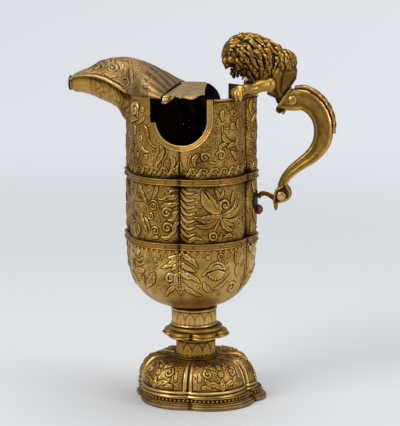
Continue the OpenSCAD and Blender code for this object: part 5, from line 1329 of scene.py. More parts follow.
# Hood relief, near side: places are millimetres down from the crest and back from the tip
hoodMotifs = [
    (leaf, [(8, 22), (12, 30), (17, 37), (26, 40)], 3.0, {"teeth": 3}),
    (leaf, [(28, 30), (22, 34), (15, 33)], 2.2, {"teeth": 2}),
    (volute, [(10, 42)], 5.0, {"start": 1.2, "width": 1.2}),
    (volute, [(24, 48)], 5.4, {"start": 3.0, "spin": -1, "width": 1.3}),
    (leaf, [(12, 50), (17, 56), (26, 58)], 3.0, {"teeth": 3}),
    (leaf, [(33, 40), (34, 48), (31, 55)], 2.4, {"teeth": 3}),
    (leaf, [(5, 52), (8, 60), (14, 65)], 2.2, {"teeth": 2}), (stalk, [(4, 30), (6, 40), (4, 48)], 0.9),
    (leaf, [(30, 20), (24, 24), (20, 29)], 1.8), (volute, [(33, 62)], 4.0, {"start": 0.6}),
    (leaf, [(20, 66), (27, 68), (34, 70)], 2.0), (button, [(18, 44)], 1.6), (button, [(30, 36)], 1.4)]


def dressHood():
    table = finer(hoodStations(), spoutLook["hoodSteps"])
    rows, columns = len(table), spoutLook["hoodAcross"]
    angles = np.linspace(-math.pi / 2, math.pi / 2, columns)[None, :]
    crest, half = table[:, 1] - table[:, 2], table[:, 3]
    girth = ((math.pi / 2) * np.sqrt((half ** 2 + np.maximum(crest, 1) ** 2) / 2))[:, None]
    along = np.concatenate([[0], np.cumsum(np.hypot(np.diff(table[:, 0]), np.diff(table[:, 1])))])
    a, b = along[:, None] + 0 * angles, np.degrees(angles) / 90 * girth
    share = a / along[-1]
    # the field is the crest's two sides laid flat, 42 mm down to each edge
    down = 42.0
    field = {"length": 2 * down * columns / (columns - 1), "s": np.linspace(0, 2 * down, columns), "z": along,
             "middles": [down], "rise": np.zeros((columns, rows)), "ground": np.ones((columns, rows))}
    for side in (-1, 1):
        pressMotifs(field, 0, hoodMotifs, side)
    strew(field, 52, 20, 92, 700, (2.6, 1.9, 1.4), 0.3)
    # flutes fan down the slope behind the crest, and a rib runs above the seam
    fan = smoothStep(0.70, 0.80, share)
    flutes = np.sin(b / np.maximum(girth, 1) * spoutLook["flutes"])
    fromEdge, front = girth - np.abs(b), 1 - smoothStep(0.52, 0.60, share)
    seamRib = bell(fromEdge, 1.4, 1.2) * front
    ridge = smoothStep(0.28, 0.36, share) * (1 - smoothStep(0.66, 0.74, share))
    rise = field["rise"].T * 0.62 + fan * 0.32 * flutes * field["ground"].T + 1.3 * seamRib \
        - 0.5 * bell(fromEdge, 3.6, 0.7) * front + 0.35 * bell(b, 0, 1.5) * ridge \
        + 0.3 * (valueNoise(a * 0.12, b * 0.12, 61) - 0.5)
    rise = np.minimum(rise, 1.5)
    near = rise - boxBlur(rise, 3, False)
    tone = 0.70 + 1.5 * np.minimum(near, 0) + 0.3 * np.maximum(near, 0) + 0.2 * seamRib \
        + 0.16 * (1 - smoothStep(0.2, 0.34, share)) - 0.08 * fan * (1 - flutes)
    outer = spoutGrid(table, 0, angles, 0.85, np.minimum(rise, 1.2), 0.9)
    inner = spoutGrid(table, spoutLook["sheet"], angles, 0.85)
    sheetPiece("spoutHood", "spout_hood", outer, inner, tone)


def dressTrough():
    rim, tall = spoutLook["rim"], spoutLook["hoodH"]
    table = np.array([(spoutX(r[0]), rim - r[3] * spoutLook["drop"], rim + r[2] * tall - 0.1, r[4] * bodyR)
                      for r in (*spoutShare, *rootShare)])
    table = finer(table, spoutLook["troughSteps"])
    angles = np.linspace(-math.pi / 2, math.pi / 2, spoutLook["troughAcross"])[None, :]
    # run is 1 where the outside meets the wall, and goes on to the hidden root
    run = np.linspace(0, 9 / 7, len(table))[:, None]
    tip = (1 - smoothStep(0.42, 0.56, run)) * smoothStep(0.06, 0.14, run)
    s, z = run * 62, angles * 30
    scroll = np.sin(s * 0.9 + 1.6 * np.sin(z * 0.35)) * np.sin(z * 0.42 + 1.1 * np.sin(s * 0.5))
    rise = 0.20 * np.abs(np.sin(angles * 8.5)) * tip - 0.3 * bell(run, 0.50, 0.02) \
        + 0.32 * smoothStep(0.52, 0.60, run) * np.clip(scroll, -0.5, 0.8) + 0.9 * bell(run, 0.03, 0.025)
    tone = 0.62 + 0.77 * (rise - boxBlur(rise, 4, False)) + 0.1 * tip - 0.12 * smoothStep(0.86, 1.0, run) \
        - 0.35 * bell(np.abs(angles), math.pi / 2, 0.10)
    outer = spoutGrid(table, 0, angles, 0.8, rise)
    inner = spoutGrid(table, spoutLook["sheet"], angles, 0.8)
    # nothing of the trough stands inside the body's wall
    for grid in (outer, inner):
        x, y = grid[..., 0] - bodyX, grid[..., 1]
        limit = lobedReach(np.arctan2(y, x), bodyLobes[0], bodyLobes[1] + 0.12)
        push = np.maximum(limit / np.maximum(np.hypot(x, y), 1e-6), 1)
        grid[..., 0], grid[..., 1] = bodyX + x * push, y * push
    sheetPiece("spoutTrough", "spout_trough", outer, inner, tone)


# The plate over the mouth: torn near edge, scored with crossing lines
plateShare = [(0, -0.86), (0.16, -0.80), (0.26, -0.68), (0.36, -0.64), (0.46, -0.70), (0.60, -0.66),
              (0.72, -0.71), (0.84, -0.69), (1.00, -0.70), (1.14, -0.68), (1.30, -0.66), (1.48, -0.62)]


# how far the torn edge hangs at each of its points, or curls up where it is negative
plateHang = [5.0, 6.0, 4.4, 1.2, 0.4, 2.4, 1.0, 2.0, 2.6, 1.6, -1.0, -1.5]
plateLook = {"steps": 170, "across": 110, "hatch": 3.6, "scored": 0.22, "sag": 0.35, "hangWidth": 9,
             "right": [(1.48, -0.62), (1.19, 0), (0.95, 0.70), (0.86, 0.86)]}


def dressPlate():
    low, high = boxOf("cover_plate")
    back = spoutX(hoodShare[-1][0]) + 0.1
    length = notch["innerR"] + notch["x"] + 0.1
    near = spline([(back + a * length, b * bodyR) for a, b in plateShare], plateLook["steps"])
    rightX, rightY = (np.array(plateLook["right"]) * [length, bodyR] + [back, 0]).T
    across = np.linspace(0, 1, plateLook["across"])
    x0, y0 = near[:, :1], near[:, 1:]
    y = y0 + (rightY[-1] - y0) * across[None, :]
    x = back + (x0 - back) * (np.interp(y, rightY, rightX) - back) / (rightX[0] - back)
    lines = np.maximum(*(bell((d / plateLook["hatch"]) % 1, 0.5, 0.15) for d in (x + y, x - y)))
    sag = plateLook["sag"] * (valueNoise(x * 0.12, y * 0.12, 77) - 0.5)
    ragged = np.interp(x0, back + np.array(plateShare)[:, 0] * length, plateHang)
    hang = ragged * np.clip(1 - (y - y0) / plateLook["hangWidth"], 0, 1) ** 2
    tone = 0.95 - 0.52 * lines + 0.2 * (valueNoise(x * 0.2, y * 0.2, 5) - 0.5)
    outer, inner = (np.stack([bodyX + x, y, z], -1)[::-1] for z in (
        high[2] - plateLook["scored"] * lines + sag - 0.3 - hang, low[2] - hang))
    sheetPiece("coverPlate", "cover_plate", outer, inner, tone[::-1])


tipLook = {"sides": 72, "section": [  # share of the radius, share of the depth, tone
    (0.62, 0, 0.2), (0.62, 1, 0.4), (0.7, 1, 0.6), (0.82, 1.0, 0.7), (0.9, 0.8, 0.6), (0.98, 0.55, 0.75),
    (1.0, 0.3, 0.7), (0.98, 0, 0.4)]}


def dressTipRing():
    low, high = boxOf("spout_tip_ring")
    out, up, tones = np.array(tipLook["section"]).T
    c, s = (way[:, None] for way in circle(tipLook["sides"]))
    r = (high[2] - low[2]) / 2 * out
    rings = np.stack([high[0] - up * (high[0] - low[0]) + 0 * c, r * c, (low[2] + high[2]) / 2 + r * s], -1)
    gridPiece("spoutTipRing", "spout_tip_ring", rings, np.broadcast_to(tones, rings.shape[:2]))


earLook = {"share": 0.86, "back": 0.14, "margin": 1.6, "steps": 110, "across": 60, "inset": 3.8, "thick": 1.3}


def dressEar():
    low, high = boxOf("far_ear")
    r, earX = notch["innerR"] * earLook["share"], notch["x"] - notch["innerR"] * earLook["back"]
    big = notch["innerR"] + earLook["margin"]
    across, top = np.linspace(0, 1, earLook["across"]), high[2] - notch["z"]
    rows, tones = [], []
    for z in np.linspace(-big + 0.05, r, earLook["steps"]):
        if z > top - 0.05:
            break
        halfW = math.sqrt(max(r * r - z * z, 0))
        left, right = earX - halfW, earX + halfW
        if z < 0:
            halfW = math.sqrt(big * big - z * z)
            left, right = notch["x"] - halfW, notch["x"] + halfW
        else:
            left, right = earX - r, max(right, earX + 0.3 * r)
        x = left + (right - left) * across
        wave = 0.35 * np.sin(x * 0.45 + 1.4 * np.sin(z * 0.22)) + 0.2 * np.sin(z * 0.5 + x * 0.2)
        rows.append(np.stack([bodyX + x, outlineY(x, -earLook["inset"]) + wave, z + notch["z"] + 0 * x], -1))
        # painted shade: the ear's face seen through the opening is painted dark
        tones.append(0.40 + 0.45 * wave - 0.25 * (np.abs(across - 0.5) > 0.47))
    outer = np.array(rows)
    sheetPiece("farEar", "far_ear", outer - [0, earLook["thick"], 0], outer, np.array(tones))


dressHood()
dressTrough()
dressPlate()
dressTipRing()
dressEar()
print("spout, hood and plate are shaped")


# Handle: the bar's middle line in shares, as in the CAD, x back from its reach and z above the scroll
handleLook = {"reach": 130.6, "tall": 98.6, "thick": 19.6, "wide": 12.4, "scrollZ": 192.6, "scrollR": 8.6,
              "scrollX": 84.27, "tilt": math.radians(34), "steps": 210, "sides": 72, "leadSteps": 14}
barShare = [(0.265, 0.903, 1.05), (0.205, 0.905, 1.03), (0.145, 0.860, 0.99), (0.098, 0.790, 0.95),
            (0.070, 0.700, 0.93), (0.064, 0.610, 0.90), (0.074, 0.525, 0.86), (0.105, 0.445, 0.77),
            (0.155, 0.370, 0.67), (0.215, 0.310, 0.58), (0.272, 0.250, 0.52), (0.318, 0.185, 0.46),
            (0.345, 0.120, 0.43), (0.356, 0.075, 0.40)]
jointAt = np.array([handleLook["reach"] * 0.672, 0, handleLook["scrollZ"] + handleLook["tall"] * 0.903])
jointWay = np.array([math.cos(handleLook["tilt"]), 0, -math.sin(handleLook["tilt"])])


def wayOf(path):
    way = np.gradient(path, axis=0)
    return way / np.maximum(np.linalg.norm(way, axis=1)[:, None], 1e-9)


def barLine(count):
    back, up, share = spline(barShare, count).T
    middle = np.stack([handleLook["reach"] * (1 - back), handleLook["scrollZ"] + handleLook["tall"] * up], 1)
    return middle, wayOf(middle), share


# Points beside a flat path: out of it to its left by out, and y across
def beside(spot, way, out, y):
    return np.stack([bodyX + spot[0] - way[1] * out, y, spot[1] + way[0] * out], -1)


def dressBar():
    middle, way, share = barLine(handleLook["steps"])
    depth, width = handleLook["thick"] * share, handleLook["wide"] * (0.42 + 0.58 * share)
    # the bar leaves the joint square to it and turns into its own line
    f = np.linspace(0, 1, handleLook["leadSteps"], endpoint=False)[:, None]
    leadWay = jointWay[[0, 2]] * (1 - f) + way[0] * f
    leadWay /= np.linalg.norm(leadWay, axis=1)[:, None]
    middle, way = np.vstack([jointAt[[0, 2]] * (1 - f) + middle[0] * f, middle]), np.vstack([leadWay, way])
    f = f[:, 0]
    depth = np.concatenate([handleLook["thick"] * 1.12 * (1 - f) + depth[0] * f, depth])
    width = np.concatenate([handleLook["wide"] * 1.05 * (1 - f) + width[0] * f, width])
    # a flattened oval with a channel down each face
    c, s = circle(handleLook["sides"])
    out = np.sign(c) * np.abs(c) ** 0.92 / 2
    y = np.sign(s) * np.abs(s) ** 0.86 * (1 - 0.30 * bell(c, 0.12, 0.36)) / 2
    rings = [beside(spot, along, -out * deep, y * wide)
             for spot, along, deep, wide in zip(middle, way, depth, width)]
    tone = 0.60 + 0.30 * bell(np.abs(c), 0.80, 0.16) - 0.12 * bell(c, 0.45, 0.12)
    run = np.linspace(0, 1, len(rings))[:, None]
    tones = tone + 0.16 * (valueNoise(run * 40, np.arange(handleLook["sides"])[None, :] * 0.3, 12) - 0.5)
    ringsPiece("handleBar", "handle_bar", rings, tones)


dressBar()
print("the handle's bar is swept")


# Tubes and balls, joined into one skin by small cells where a form is modelled like wax

def closedSkin(body, first, last):
    rows, sides = body.shape[:2]
    quads = gridFaces(rows, sides, wrapCols=True)
    tris = [quads[:, [0, 1, 2]], quads[:, [0, 2, 3]], *endFans(rows, sides, rows * sides, rows * sides + 1)]
    return np.vstack([body.reshape(-1, 3), first, last]), np.concatenate(tris), 0.5


def tube(points, radii, sides=14, squash=1.0):
    points, radii = np.asarray(points, float), np.asarray(radii, float)
    way = wayOf(points)
    across = np.cross([0, 1.0, 0], way)
    weak = np.linalg.norm(across, axis=1) < 0.05
    across[weak] = np.cross([1.0, 0.3, 0.2], way[weak])
    across /= np.linalg.norm(across, axis=1)[:, None]
    other = np.cross(way, across)
    c, s = (part[None, :, None] for part in circle(sides))
    ring = across[:, None, :] * c + other[:, None, :] * s * squash
    body = points[:, None, :] + ring * radii[:, None, None]
    return closedSkin(body, points[0] - way[0] * radii[0] * 0.6, points[-1] + way[-1] * radii[-1] * 0.6)


def ball(centre, r, stretch=(1, 1, 1)):
    t = np.linspace(0, math.pi, 15)[1:-1, None]
    c, s = circle(22)
    ring = np.stack([np.sin(t) * c, np.sin(t) * s, np.cos(t) + 0 * c], -1)
    corners, faces, tone = closedSkin(ring, [0, 0, 1], [0, 0, -1])
    return corners * r * np.asarray(stretch) + np.asarray(centre), faces, tone


# A lock of hair: thin at both ends, by the part of a half wave from low to high
def tuft(points, count, thick, low, high, power=0.8, sides=10):
    return tube(spline(points, count), thick * np.sin(math.pi * np.linspace(low, high, count)) ** power, sides)


def modelled(parts, cell=0.45):
    corners, faces, _ = joined(parts)
    mesh = bpy.data.meshes.new("wax")
    mesh.from_pydata(corners.tolist(), [], faces.tolist())
    wax = bpy.data.objects.new("wax", mesh)
    scene.collection.objects.link(wax)
    skin = wax.modifiers.new("skin", "REMESH")
    skin.mode = "VOXEL"
    skin.voxel_size = cell
    bpy.context.view_layer.update()
    shaped = bpy.data.meshes.new_from_object(wax.evaluated_get(bpy.context.evaluated_depsgraph_get()))
    spots, edges = np.empty(len(shaped.vertices) * 3), np.empty(len(shaped.edges) * 2, np.int32)
    sizes, loops = np.empty(len(shaped.polygons), np.int32), np.empty(len(shaped.loops), np.int32)
    shaped.vertices.foreach_get("co", spots)
    shaped.edges.foreach_get("vertices", edges)
    shaped.polygons.foreach_get("loop_total", sizes)
    shaped.loops.foreach_get("vertex_index", loops)
    starts = np.cumsum(sizes) - sizes
    groups = [loops[starts[sizes == n][:, None] + np.arange(n)] for n in (3, 4) if (sizes == n).any()]
    bpy.data.objects.remove(wax)
    bpy.data.meshes.remove(mesh)
    bpy.data.meshes.remove(shaped)
    return {"spots": spots.reshape(-1, 3), "faces": groups, "edges": edges.reshape(-1, 2)}


def neighbourMean(values, edges, times):
    count = np.bincount(edges.ravel(), minlength=len(values)).astype(float)
    for _ in range(times):
        total = np.zeros_like(values)
        for axis in range(values.shape[1]):
            total[:, axis] = np.bincount(edges[:, 0], values[edges[:, 1], axis], len(values)) \
                + np.bincount(edges[:, 1], values[edges[:, 0], axis], len(values))
        values = 0.5 * values + 0.5 * total / np.maximum(count, 1)[:, None]
    return values


def normalsOf(shape):
    spots = shape["spots"]
    normals = np.zeros_like(spots)
    for group in shape["faces"]:
        a, b, c = spots[group[:, 0]], spots[group[:, 1]], spots[group[:, 2]]
        face = np.cross(b - a, c - a)
        for k in range(group.shape[1]):
            for axis in range(3):
                normals[:, axis] += np.bincount(group[:, k], face[:, axis], len(spots))
    return normals / np.maximum(np.linalg.norm(normals, axis=1)[:, None], 1e-12)


# Smooths the modelled skin, then reads its tone from how far it stands out of its surroundings
def waxTone(shape, smooth=2, base=0.56, near=1.5, wide=0.42):
    shape["spots"] = neighbourMean(shape["spots"], shape["edges"], smooth)
    normals = normalsOf(shape)
    fine = neighbourMean(shape["spots"], shape["edges"], 6)
    broad = neighbourMean(fine, shape["edges"], 40)
    rise = ((shape["spots"] - fine) * normals).sum(1)
    stand = ((shape["spots"] - broad) * normals).sum(1)
    return base + near * np.clip(rise, -0.4, 0.4) + wide * np.clip(stand - 0.25, -0.9, 0.9), normals


# Lion, placed from its head's centre; x is measured from the body's axis
lionLook = {"head": (42.15, 0.0, 321.4), "cell": 0.42, "faceCell": 0.38, "jawCell": 0.34, "seed": 5,
            "rumpSeed": 11}
lionHead = np.array(lionLook["head"])
headX, headZ = lionHead[0], lionHead[2]
lionDice = np.random.default_rng(lionLook["seed"])
maneLook = {"masses": [((2.0, 7.2), 11.6), ((12.0, 1.1), 16.6), ((28.0, -4.3), 15.6), ((27.3, -16.1), 13.0)],
            "links": ((0, 1), (1, 2), (2, 3), (1, 3)),
            "spine": [(0.5, 1), (12, 0), (24, -5), (33, -11), (38, -17)],
            # rows of locks: place along the spine, count, length, droop and thickness
            "rows": [(0.02, 17, 0.20, 14, 2.3), (0.12, 17, 0.24, 26, 2.5), (0.23, 16, 0.25, 34, 2.6),
                     (0.34, 15, 0.25, 40, 2.6), (0.45, 14, 0.24, 44, 2.5), (0.56, 13, 0.22, 44, 2.4),
                     (0.67, 12, 0.20, 40, 2.2), (0.77, 9, 0.16, 34, 2.0)],
            # tufts under the throat: side, x, z and length
            "throat": [(-1, 8, -12, 9), (1, 8, -12, 9), (0, 6, -13, 10), (-1, 13, -14, 9), (1, 13, -14, 9),
                       (0, 11, -15, 9)]}
spinePath = np.array(maneLook["spine"]) + [headX, headZ]


# The two ends of each mass of the mane, with their radii
def maneEnds():
    for pair in maneLook["links"]:
        ends = [maneLook["masses"][k] for k in pair]
        yield [(np.array([headX + x, 0, headZ + z]), r) for (x, z), r in ends]


def maneGap(spots):
    best = np.full(spots.shape[:-1], 1e9)
    for (a, ra), (b, rb) in maneEnds():
        t = np.clip((spots - a) @ (b - a) / ((b - a) @ (b - a)), 0, 1)
        d = np.linalg.norm(spots - a - t[..., None] * (b - a), axis=-1)
        best = np.minimum(best, d - ra - t * (rb - ra))
    return best


# Points on the mane's masses, u along the spine and swing degrees round it
def onMane(u, swing, lift):
    swing = np.radians(swing)
    path = spline(spinePath, 200)
    places = np.linspace(0, 1, len(path))
    at, ahead, behind = (np.stack([np.interp(v, places, path[:, k]) for k in (0, 1)], 1)
                         for v in (u, np.clip(u + 0.03, 0, 1), np.clip(u - 0.03, 0, 1)))
    way = (ahead - behind) / np.linalg.norm(ahead - behind, axis=1)[:, None]
    out = np.stack([-way[:, 1] * np.cos(swing), np.sin(swing), way[:, 0] * np.cos(swing)], 1)
    middle = np.stack([at[:, 0], np.zeros(len(u)), at[:, 1]], 1)
    reach = np.full(len(u), 4.0)
    for _ in range(28):
        gap = maneGap(middle + out * reach[:, None])
        reach = np.clip(reach - np.clip(gap, -3, 3) * 0.8, 1, 30)
    return middle + out * (reach + lift)[:, None]


def lock(u, swing, du, dSwing, thick, curl):
    t = np.linspace(0, 1, 11)
    side = 1 if swing >= 0 else -1
    us = u + du * t + 0.012 * np.sin(t * tau) * curl
    swings = swing + side * dSwing * t ** 1.2 + 6.0 * curl * np.sin(t * math.pi * 1.3)
    radii = thick * np.minimum(1, 0.5 + 3 * t) * (1.05 - 0.92 * t ** 1.4)
    path = onMane(np.clip(us, -0.02, 1), swings, radii * 0.30 + 0.9 * t ** 3)
    return tube(path, radii, 10)


def finishWax(name, node, shape, tone):
    finishPiece(name, node, shape["spots"] + [bodyX, 0, 0], shape["faces"], tone)


def dressMane():
    parts = []
    t = np.linspace(0, 1, 9)
    for (a, ra), (b, rb) in maneEnds():
        parts += [tube(a + (b - a) * t[:, None], ra + (rb - ra) * t - 0.5, 40), ball(a, ra - 0.5),
                  ball(b, rb - 0.5)]
    for k, (u, count, du, drop, thick) in enumerate(maneLook["rows"]):
        for i in range(count):
            swing = -158 + 316 * (i + (0.5 if k % 2 else 0.1)) / count
            jitter = lionDice.uniform(-1, 1, 5)
            if u > 0.4 and abs(swing) > 128:
                continue
            parts.append(lock(u + 0.02 * jitter[0], swing + 4 * jitter[1], du * (1 + 0.2 * jitter[2]),
                              drop * abs(math.sin(math.radians(swing))) + 4, thick * (1 + 0.14 * jitter[3]),
                              1 if jitter[4] > 0 else -1))
    for side, x, z, drop in maneLook["throat"]:
        path = np.stack([headX + x + 1.6 * np.sin(t * 4), side * 4.6 * (1 - 0.3 * t), headZ + z - drop * t], 1)
        parts.append(tube(path, 2.5 * (1 - 0.75 * t ** 1.5), 10))
    shape = modelled(parts, lionLook["cell"])
    tone, normals = waxTone(shape, 1)
    # fine strands along the locks
    spots, path = shape["spots"], spline(spinePath, 60)
    nearest = np.hypot(spots[:, :1] - path[:, 0], spots[:, 2:] - path[:, 1]).argmin(1)
    middle = path[nearest]
    swing = np.arctan2(spots[:, 1], spots[:, 2] - middle[:, 1] + 0.3 * (spots[:, 0] - middle[:, 0]))
    strands = np.sin(swing * 34 + 5 * np.sin(nearest / 59 * 22)) * 0.11
    shape["spots"] = spots + normals * strands[:, None]
    finishWax("lionMane", "lion_mane", shape, tone + strands * 1.1)


def mirrored(part):
    corners, faces, tone = part
    return corners * [1, -1, 1], faces[:, ::-1], tone


# Balls and tubes given from the head's centre; those beside the middle come in pairs
def formed(forms):
    parts = []
    for make, spots, *rest in forms:
        spots = np.asarray(spots, float)
        part = make(spots + lionHead, *rest)
        parts += [part, mirrored(part)] if spots[..., 1].any() else [part]
    return parts


headForms = [  # skull, brow, cheeks, nose, muzzle, lids, lips and fangs
    (ball, (1.5, 0, 0.5), 10.6), (ball, (-5.0, 0, 6.5), 6.8), (ball, (1, 0, 7.0), 9.6),
    (tube, [(-8.0, 0, 6.5), (-10.2, 0, 2.5), (-11.6, 0, -1.2)], [4.4, 3.5, 3.0], 18),
    (ball, (-12.3, 0, -2.2), 2.5, (0.9, 1.25, 0.8)), (ball, (-9.3, 0, -6.0), 4.6),
    (ball, (-8.9, 0, -9.6), 3.3), (ball, (-2.5, 0, -6.2), 7.6, (1.1, 1, 0.8)),
    (ball, (-8.8, 3.4, -5.6), 4.5, (1, 0.9, 1)), (ball, (-7.4, 3.9, -8.9), 2.9),
    (tube, [(-9.8, 1.6, 4.2), (-9.2, 4.4, 5.2), (-7.0, 7.6, 4.0), (-4.4, 9.2, 1.2)], [1.6, 2.3, 2.0, 1.3], 12),
    (ball, (-7.1, 5.9, 1.3), 2.1),
    (tube, [(-9.2, 4.0, 0.2), (-7.8, 6.6, -0.9), (-5.4, 8.2, -0.6)], [0.7, 1.0, 0.7], 10),
    (ball, (-3.2, 7.4, -4.0), 4.4, (1.1, 0.75, 1.0)),
    (tube, [(-11.0, 2.4, -1.4), (-9.6, 4.8, -2.6), (-6.4, 7.0, -5.8), (-4.6, 7.4, -9.0)],
     [0.8, 1.1, 1.2, 0.8], 10),
    (tube, [(-9.8, 2.6, -11.0), (-9.9, 2.8, -12.6), (-9.6, 2.8, -14.0)], [1.0, 0.8, 0.3], 8)]


def dressHead():
    parts = formed(headForms)
    # fringe of small locks round the forehead and the cheeks
    for k in range(11):
        angle = math.radians(-84 + 168 * k / 10)
        c, s = math.cos(angle), math.sin(angle)
        start = lionHead + [-4.8 - 1.2 * c, 9.6 * s, 4.4 + 8.0 * c]
        tip = start + [4.4 + 1.6 * (k % 2), 2.6 * s, 2.2 * c - 0.6]
        bow = (start + tip) / 2 + [-0.6, 1.6 * s, 1.9 * c + 0.3]
        parts.append(tuft([start - [2.2, 0, 1.4 * c], start, bow, tip], 11, 1.75, 0.12, 0.93))
    # ears: cupped leaves behind the brows
    for side in (-1, 1):
        root, tip = lionHead + [6.5, side * 11.4, 5.0], lionHead + [9.6, side * 14.6, 10.6]
        middle = (root + tip) / 2
        for twist in (-1.5, 1.5):
            parts.append(tube(spline([root, middle + [twist, side * 0.7, twist * 0.4], tip], 9),
                              1.3 * np.array([1, 1.05, 1.1, 1.1, 1.05, 1.0, 0.9, 0.7, 0.4]), 10))
        parts.append(tube(spline([root, middle + [0, -side * 0.5, 0], tip], 9), np.linspace(1.9, 0.5, 9), 12))
    shape = modelled(parts, lionLook["faceCell"])
    tone, normals = waxTone(shape, 2, base=0.64, near=1.9, wide=0.5)
    spots = shape["spots"] - lionHead
    whisker = (spots[:, 0] < -5) & (spots[:, 2] < -3) & (spots[:, 2] > -10)
    wrinkle = np.sin(spots[:, 2] * 3.4 + spots[:, 0] * 1.6) * 0.10 * whisker
    shape["spots"] = shape["spots"] + normals * wrinkle[:, None]
    for side in (-1, 1):
        eye = np.linalg.norm(spots - [-8.6, side * 7.0, 1.6], axis=1)
        nostril = np.linalg.norm(spots - [-14.2, side * 1.3, -2.8], axis=1)
        tone = tone - 0.35 * bell(eye, 1.9, 0.6) + 0.12 * bell(eye, 0, 1.2) - 0.5 * bell(nostril, 0, 0.7)
    # painted shade: the head darkens towards its underside
    finishWax("lionHead", "lion_head", shape, tone - 0.35 * smoothStep(-9.5, -12, spots[:, 2]))


jawForms = [
    (tube, [(8.0, 0, -12.6), (3.5, 0, -14.2), (-1.0, 0, -16.6), (-3.6, 0, -17.2)],
     [4.2, 3.7, 3.0, 2.6], 18, 0.72),
    (ball, (-4.0, 0, -17.4), 2.6, (1, 1.15, 0.8)),
    (tube, [(-4.9, 1.5, -15.2), (-5.1, 1.6, -13.9), (-4.9, 1.6, -12.8)], [0.8, 0.6, 0.25], 8)]
tongue = [(6, 0, -11.4), (1, 0, -12.4), (-3.4, 0, -14.0), (-5.8, 0, -13.2)]


def dressJaw():
    parts = formed(jawForms)
    parts.append(tube(spline(np.array(tongue) + lionHead, 12), np.linspace(2.4, 1.2, 12), 12, 0.5))
    for side in (-1, 0, 1):
        for back in (0, 3.4, 7.0):
            start = lionHead + [-3.2 + back, side * 2.2, -18.2 + back * 0.26]
            parts.append(tuft([start + [0.6, 0, 1.6], start, start + [0.4, side * 0.4, -2.2],
                               start + [1.6, side * 0.3, -3.6]], 9, 1.35, 0.2, 0.94, sides=9))
    shape = modelled(parts, lionLook["jawCell"])
    tone, _ = waxTone(shape, 2, near=1.6, wide=0.4)
    finishWax("lionJaw", "lion_jaw", shape, tone)


# Rump, haunch, belly and chest, with the rump's locks as far as the joint's collar
torsoLook = {"rump": (42.2, 0, -4.8), "belly": (33.5, 0, -31.6), "chest": (34.5, 0, -22.9), "locks": 46,
             "lockReach": 10.9, "joint": 3.15}


# Cuts a skin flat where it meets the collar
def cutAtJoint(shape, short):
    over = (shape["spots"] - jointAt) @ jointWay + short
    shape["spots"] = shape["spots"] - np.maximum(over, 0)[:, None] * jointWay
    return over


def dressTorso():
    rump, belly, chest = (lionHead + torsoLook[part] for part in ("rump", "belly", "chest"))
    haunch = jointAt + [-3, 0, 6.4]
    parts = [ball(jointAt + [-1.4, 0, 20.0], 8.8), ball(jointAt + [-3.2, 0, 13.0], 9.4),
             ball(rump, 10.8, (1, 0.96, 1)), ball(rump + [2.8, 0, -9.9], 10.4), ball(haunch, 8.7),
             tube([rump, rump + [2.8, 0, -10], haunch + [1.4, 0, 6], haunch], [10.7, 10.6, 9.6, 8.6], 32),
             tube([haunch, belly, chest], [8.2, 7.0, 6.0], 24),
             tube([haunch, haunch + [4, 0, -4.4], haunch + [9, 0, -9.5]], [8.4, 7.4, 6.8], 24),
             ball(lionHead + [38, 0, -14], 11.5), ball(jointAt + [1.6, 0, 7.2], 9.0),
             ball(jointAt + [-2.4, 0, 1.0], 7.6, (1, 0.92, 1))]
    for side in (-1, 1):
        thigh = [rump + [-1, side * 6.2, -6], rump + [-4, side * 7.6, -14], haunch + [-3, side * 5.4, 5],
                 haunch + [0, side * 4.2, -2]]
        parts.append(tube(spline(thigh, 12), [5.4, 5.6, 5.8, 5.6, 5.2, 4.9, 4.7, 4.5, 4.3, 4.2, 4.2, 4.0], 16))
    chance, heart = np.random.default_rng(lionLook["rumpSeed"]), rump + [1.5, 0, -5]
    for k in range(torsoLook["locks"]):
        side = -1 if k % 2 else 1
        row, col = (k // 2) % 6, (k // 2) // 6
        angle = math.radians(8 + 21 * col + chance.uniform(-5, 5))
        x = -6 + 3.6 * row + chance.uniform(-1, 1)
        start = rump + [x - 2, side * 10.4 * math.sin(angle), 10.2 * math.cos(angle) - 0.25 * abs(x)]
        drop = 10 + chance.uniform(-2, 2)
        path = spline([start, start + [2.0, side * 1.5, -drop * 0.4], start + [3.0, side * 1.2, -drop * 0.75],
                       start + [1.4, side * 0.6, -drop]], 10)
        # laid on the rump's round
        size = np.linalg.norm((path - heart) * [1, 1, 0.72], axis=1)
        path = heart + (path - heart) * (torsoLook["lockReach"] / np.maximum(size, 1e-6))[:, None]
        parts.append(tube(path, 1.7 * np.sin(math.pi * np.linspace(0.12, 0.94, 10)) ** 0.8, 10))
    shape = modelled(parts, lionLook["cell"])
    cutAtJoint(shape, torsoLook["joint"])
    tone, normals = waxTone(shape, 1)
    x, y, z = shape["spots"].T
    strands = 0.07 * np.sin(y * 4.2 + x * 2.4 + np.sin(z * 0.7) * 2) * (z > headZ - 24)
    shape["spots"] = shape["spots"] + normals * strands[:, None]
    over = cutAtJoint(shape, torsoLook["joint"] - 0.03)
    finishWax("lionTorso", "lion_torso", shape, tone - 0.3 * smoothStep(-3, 0, over))


rimTop = boxOf("upper_drum")[1][2]
legLook = {"hip": (74.0, 11.8, 296.4), "elbow": (60.5, 23.0, 293.2), "paw": (51.6, 34.4, rimTop + 6.2),
           "radii": [(0, 6.4), (0.3, 5.7), (0.5, 4.9), (0.72, 4.2), (1, 4.9)], "onRim": 62.5,
           "tendons": [(3.6, 1.4, 1.5), (0.8, 4.0, 1.3), (-2.0, 3.4, 1.1)], "toes": (12, 38, 64, 92)}


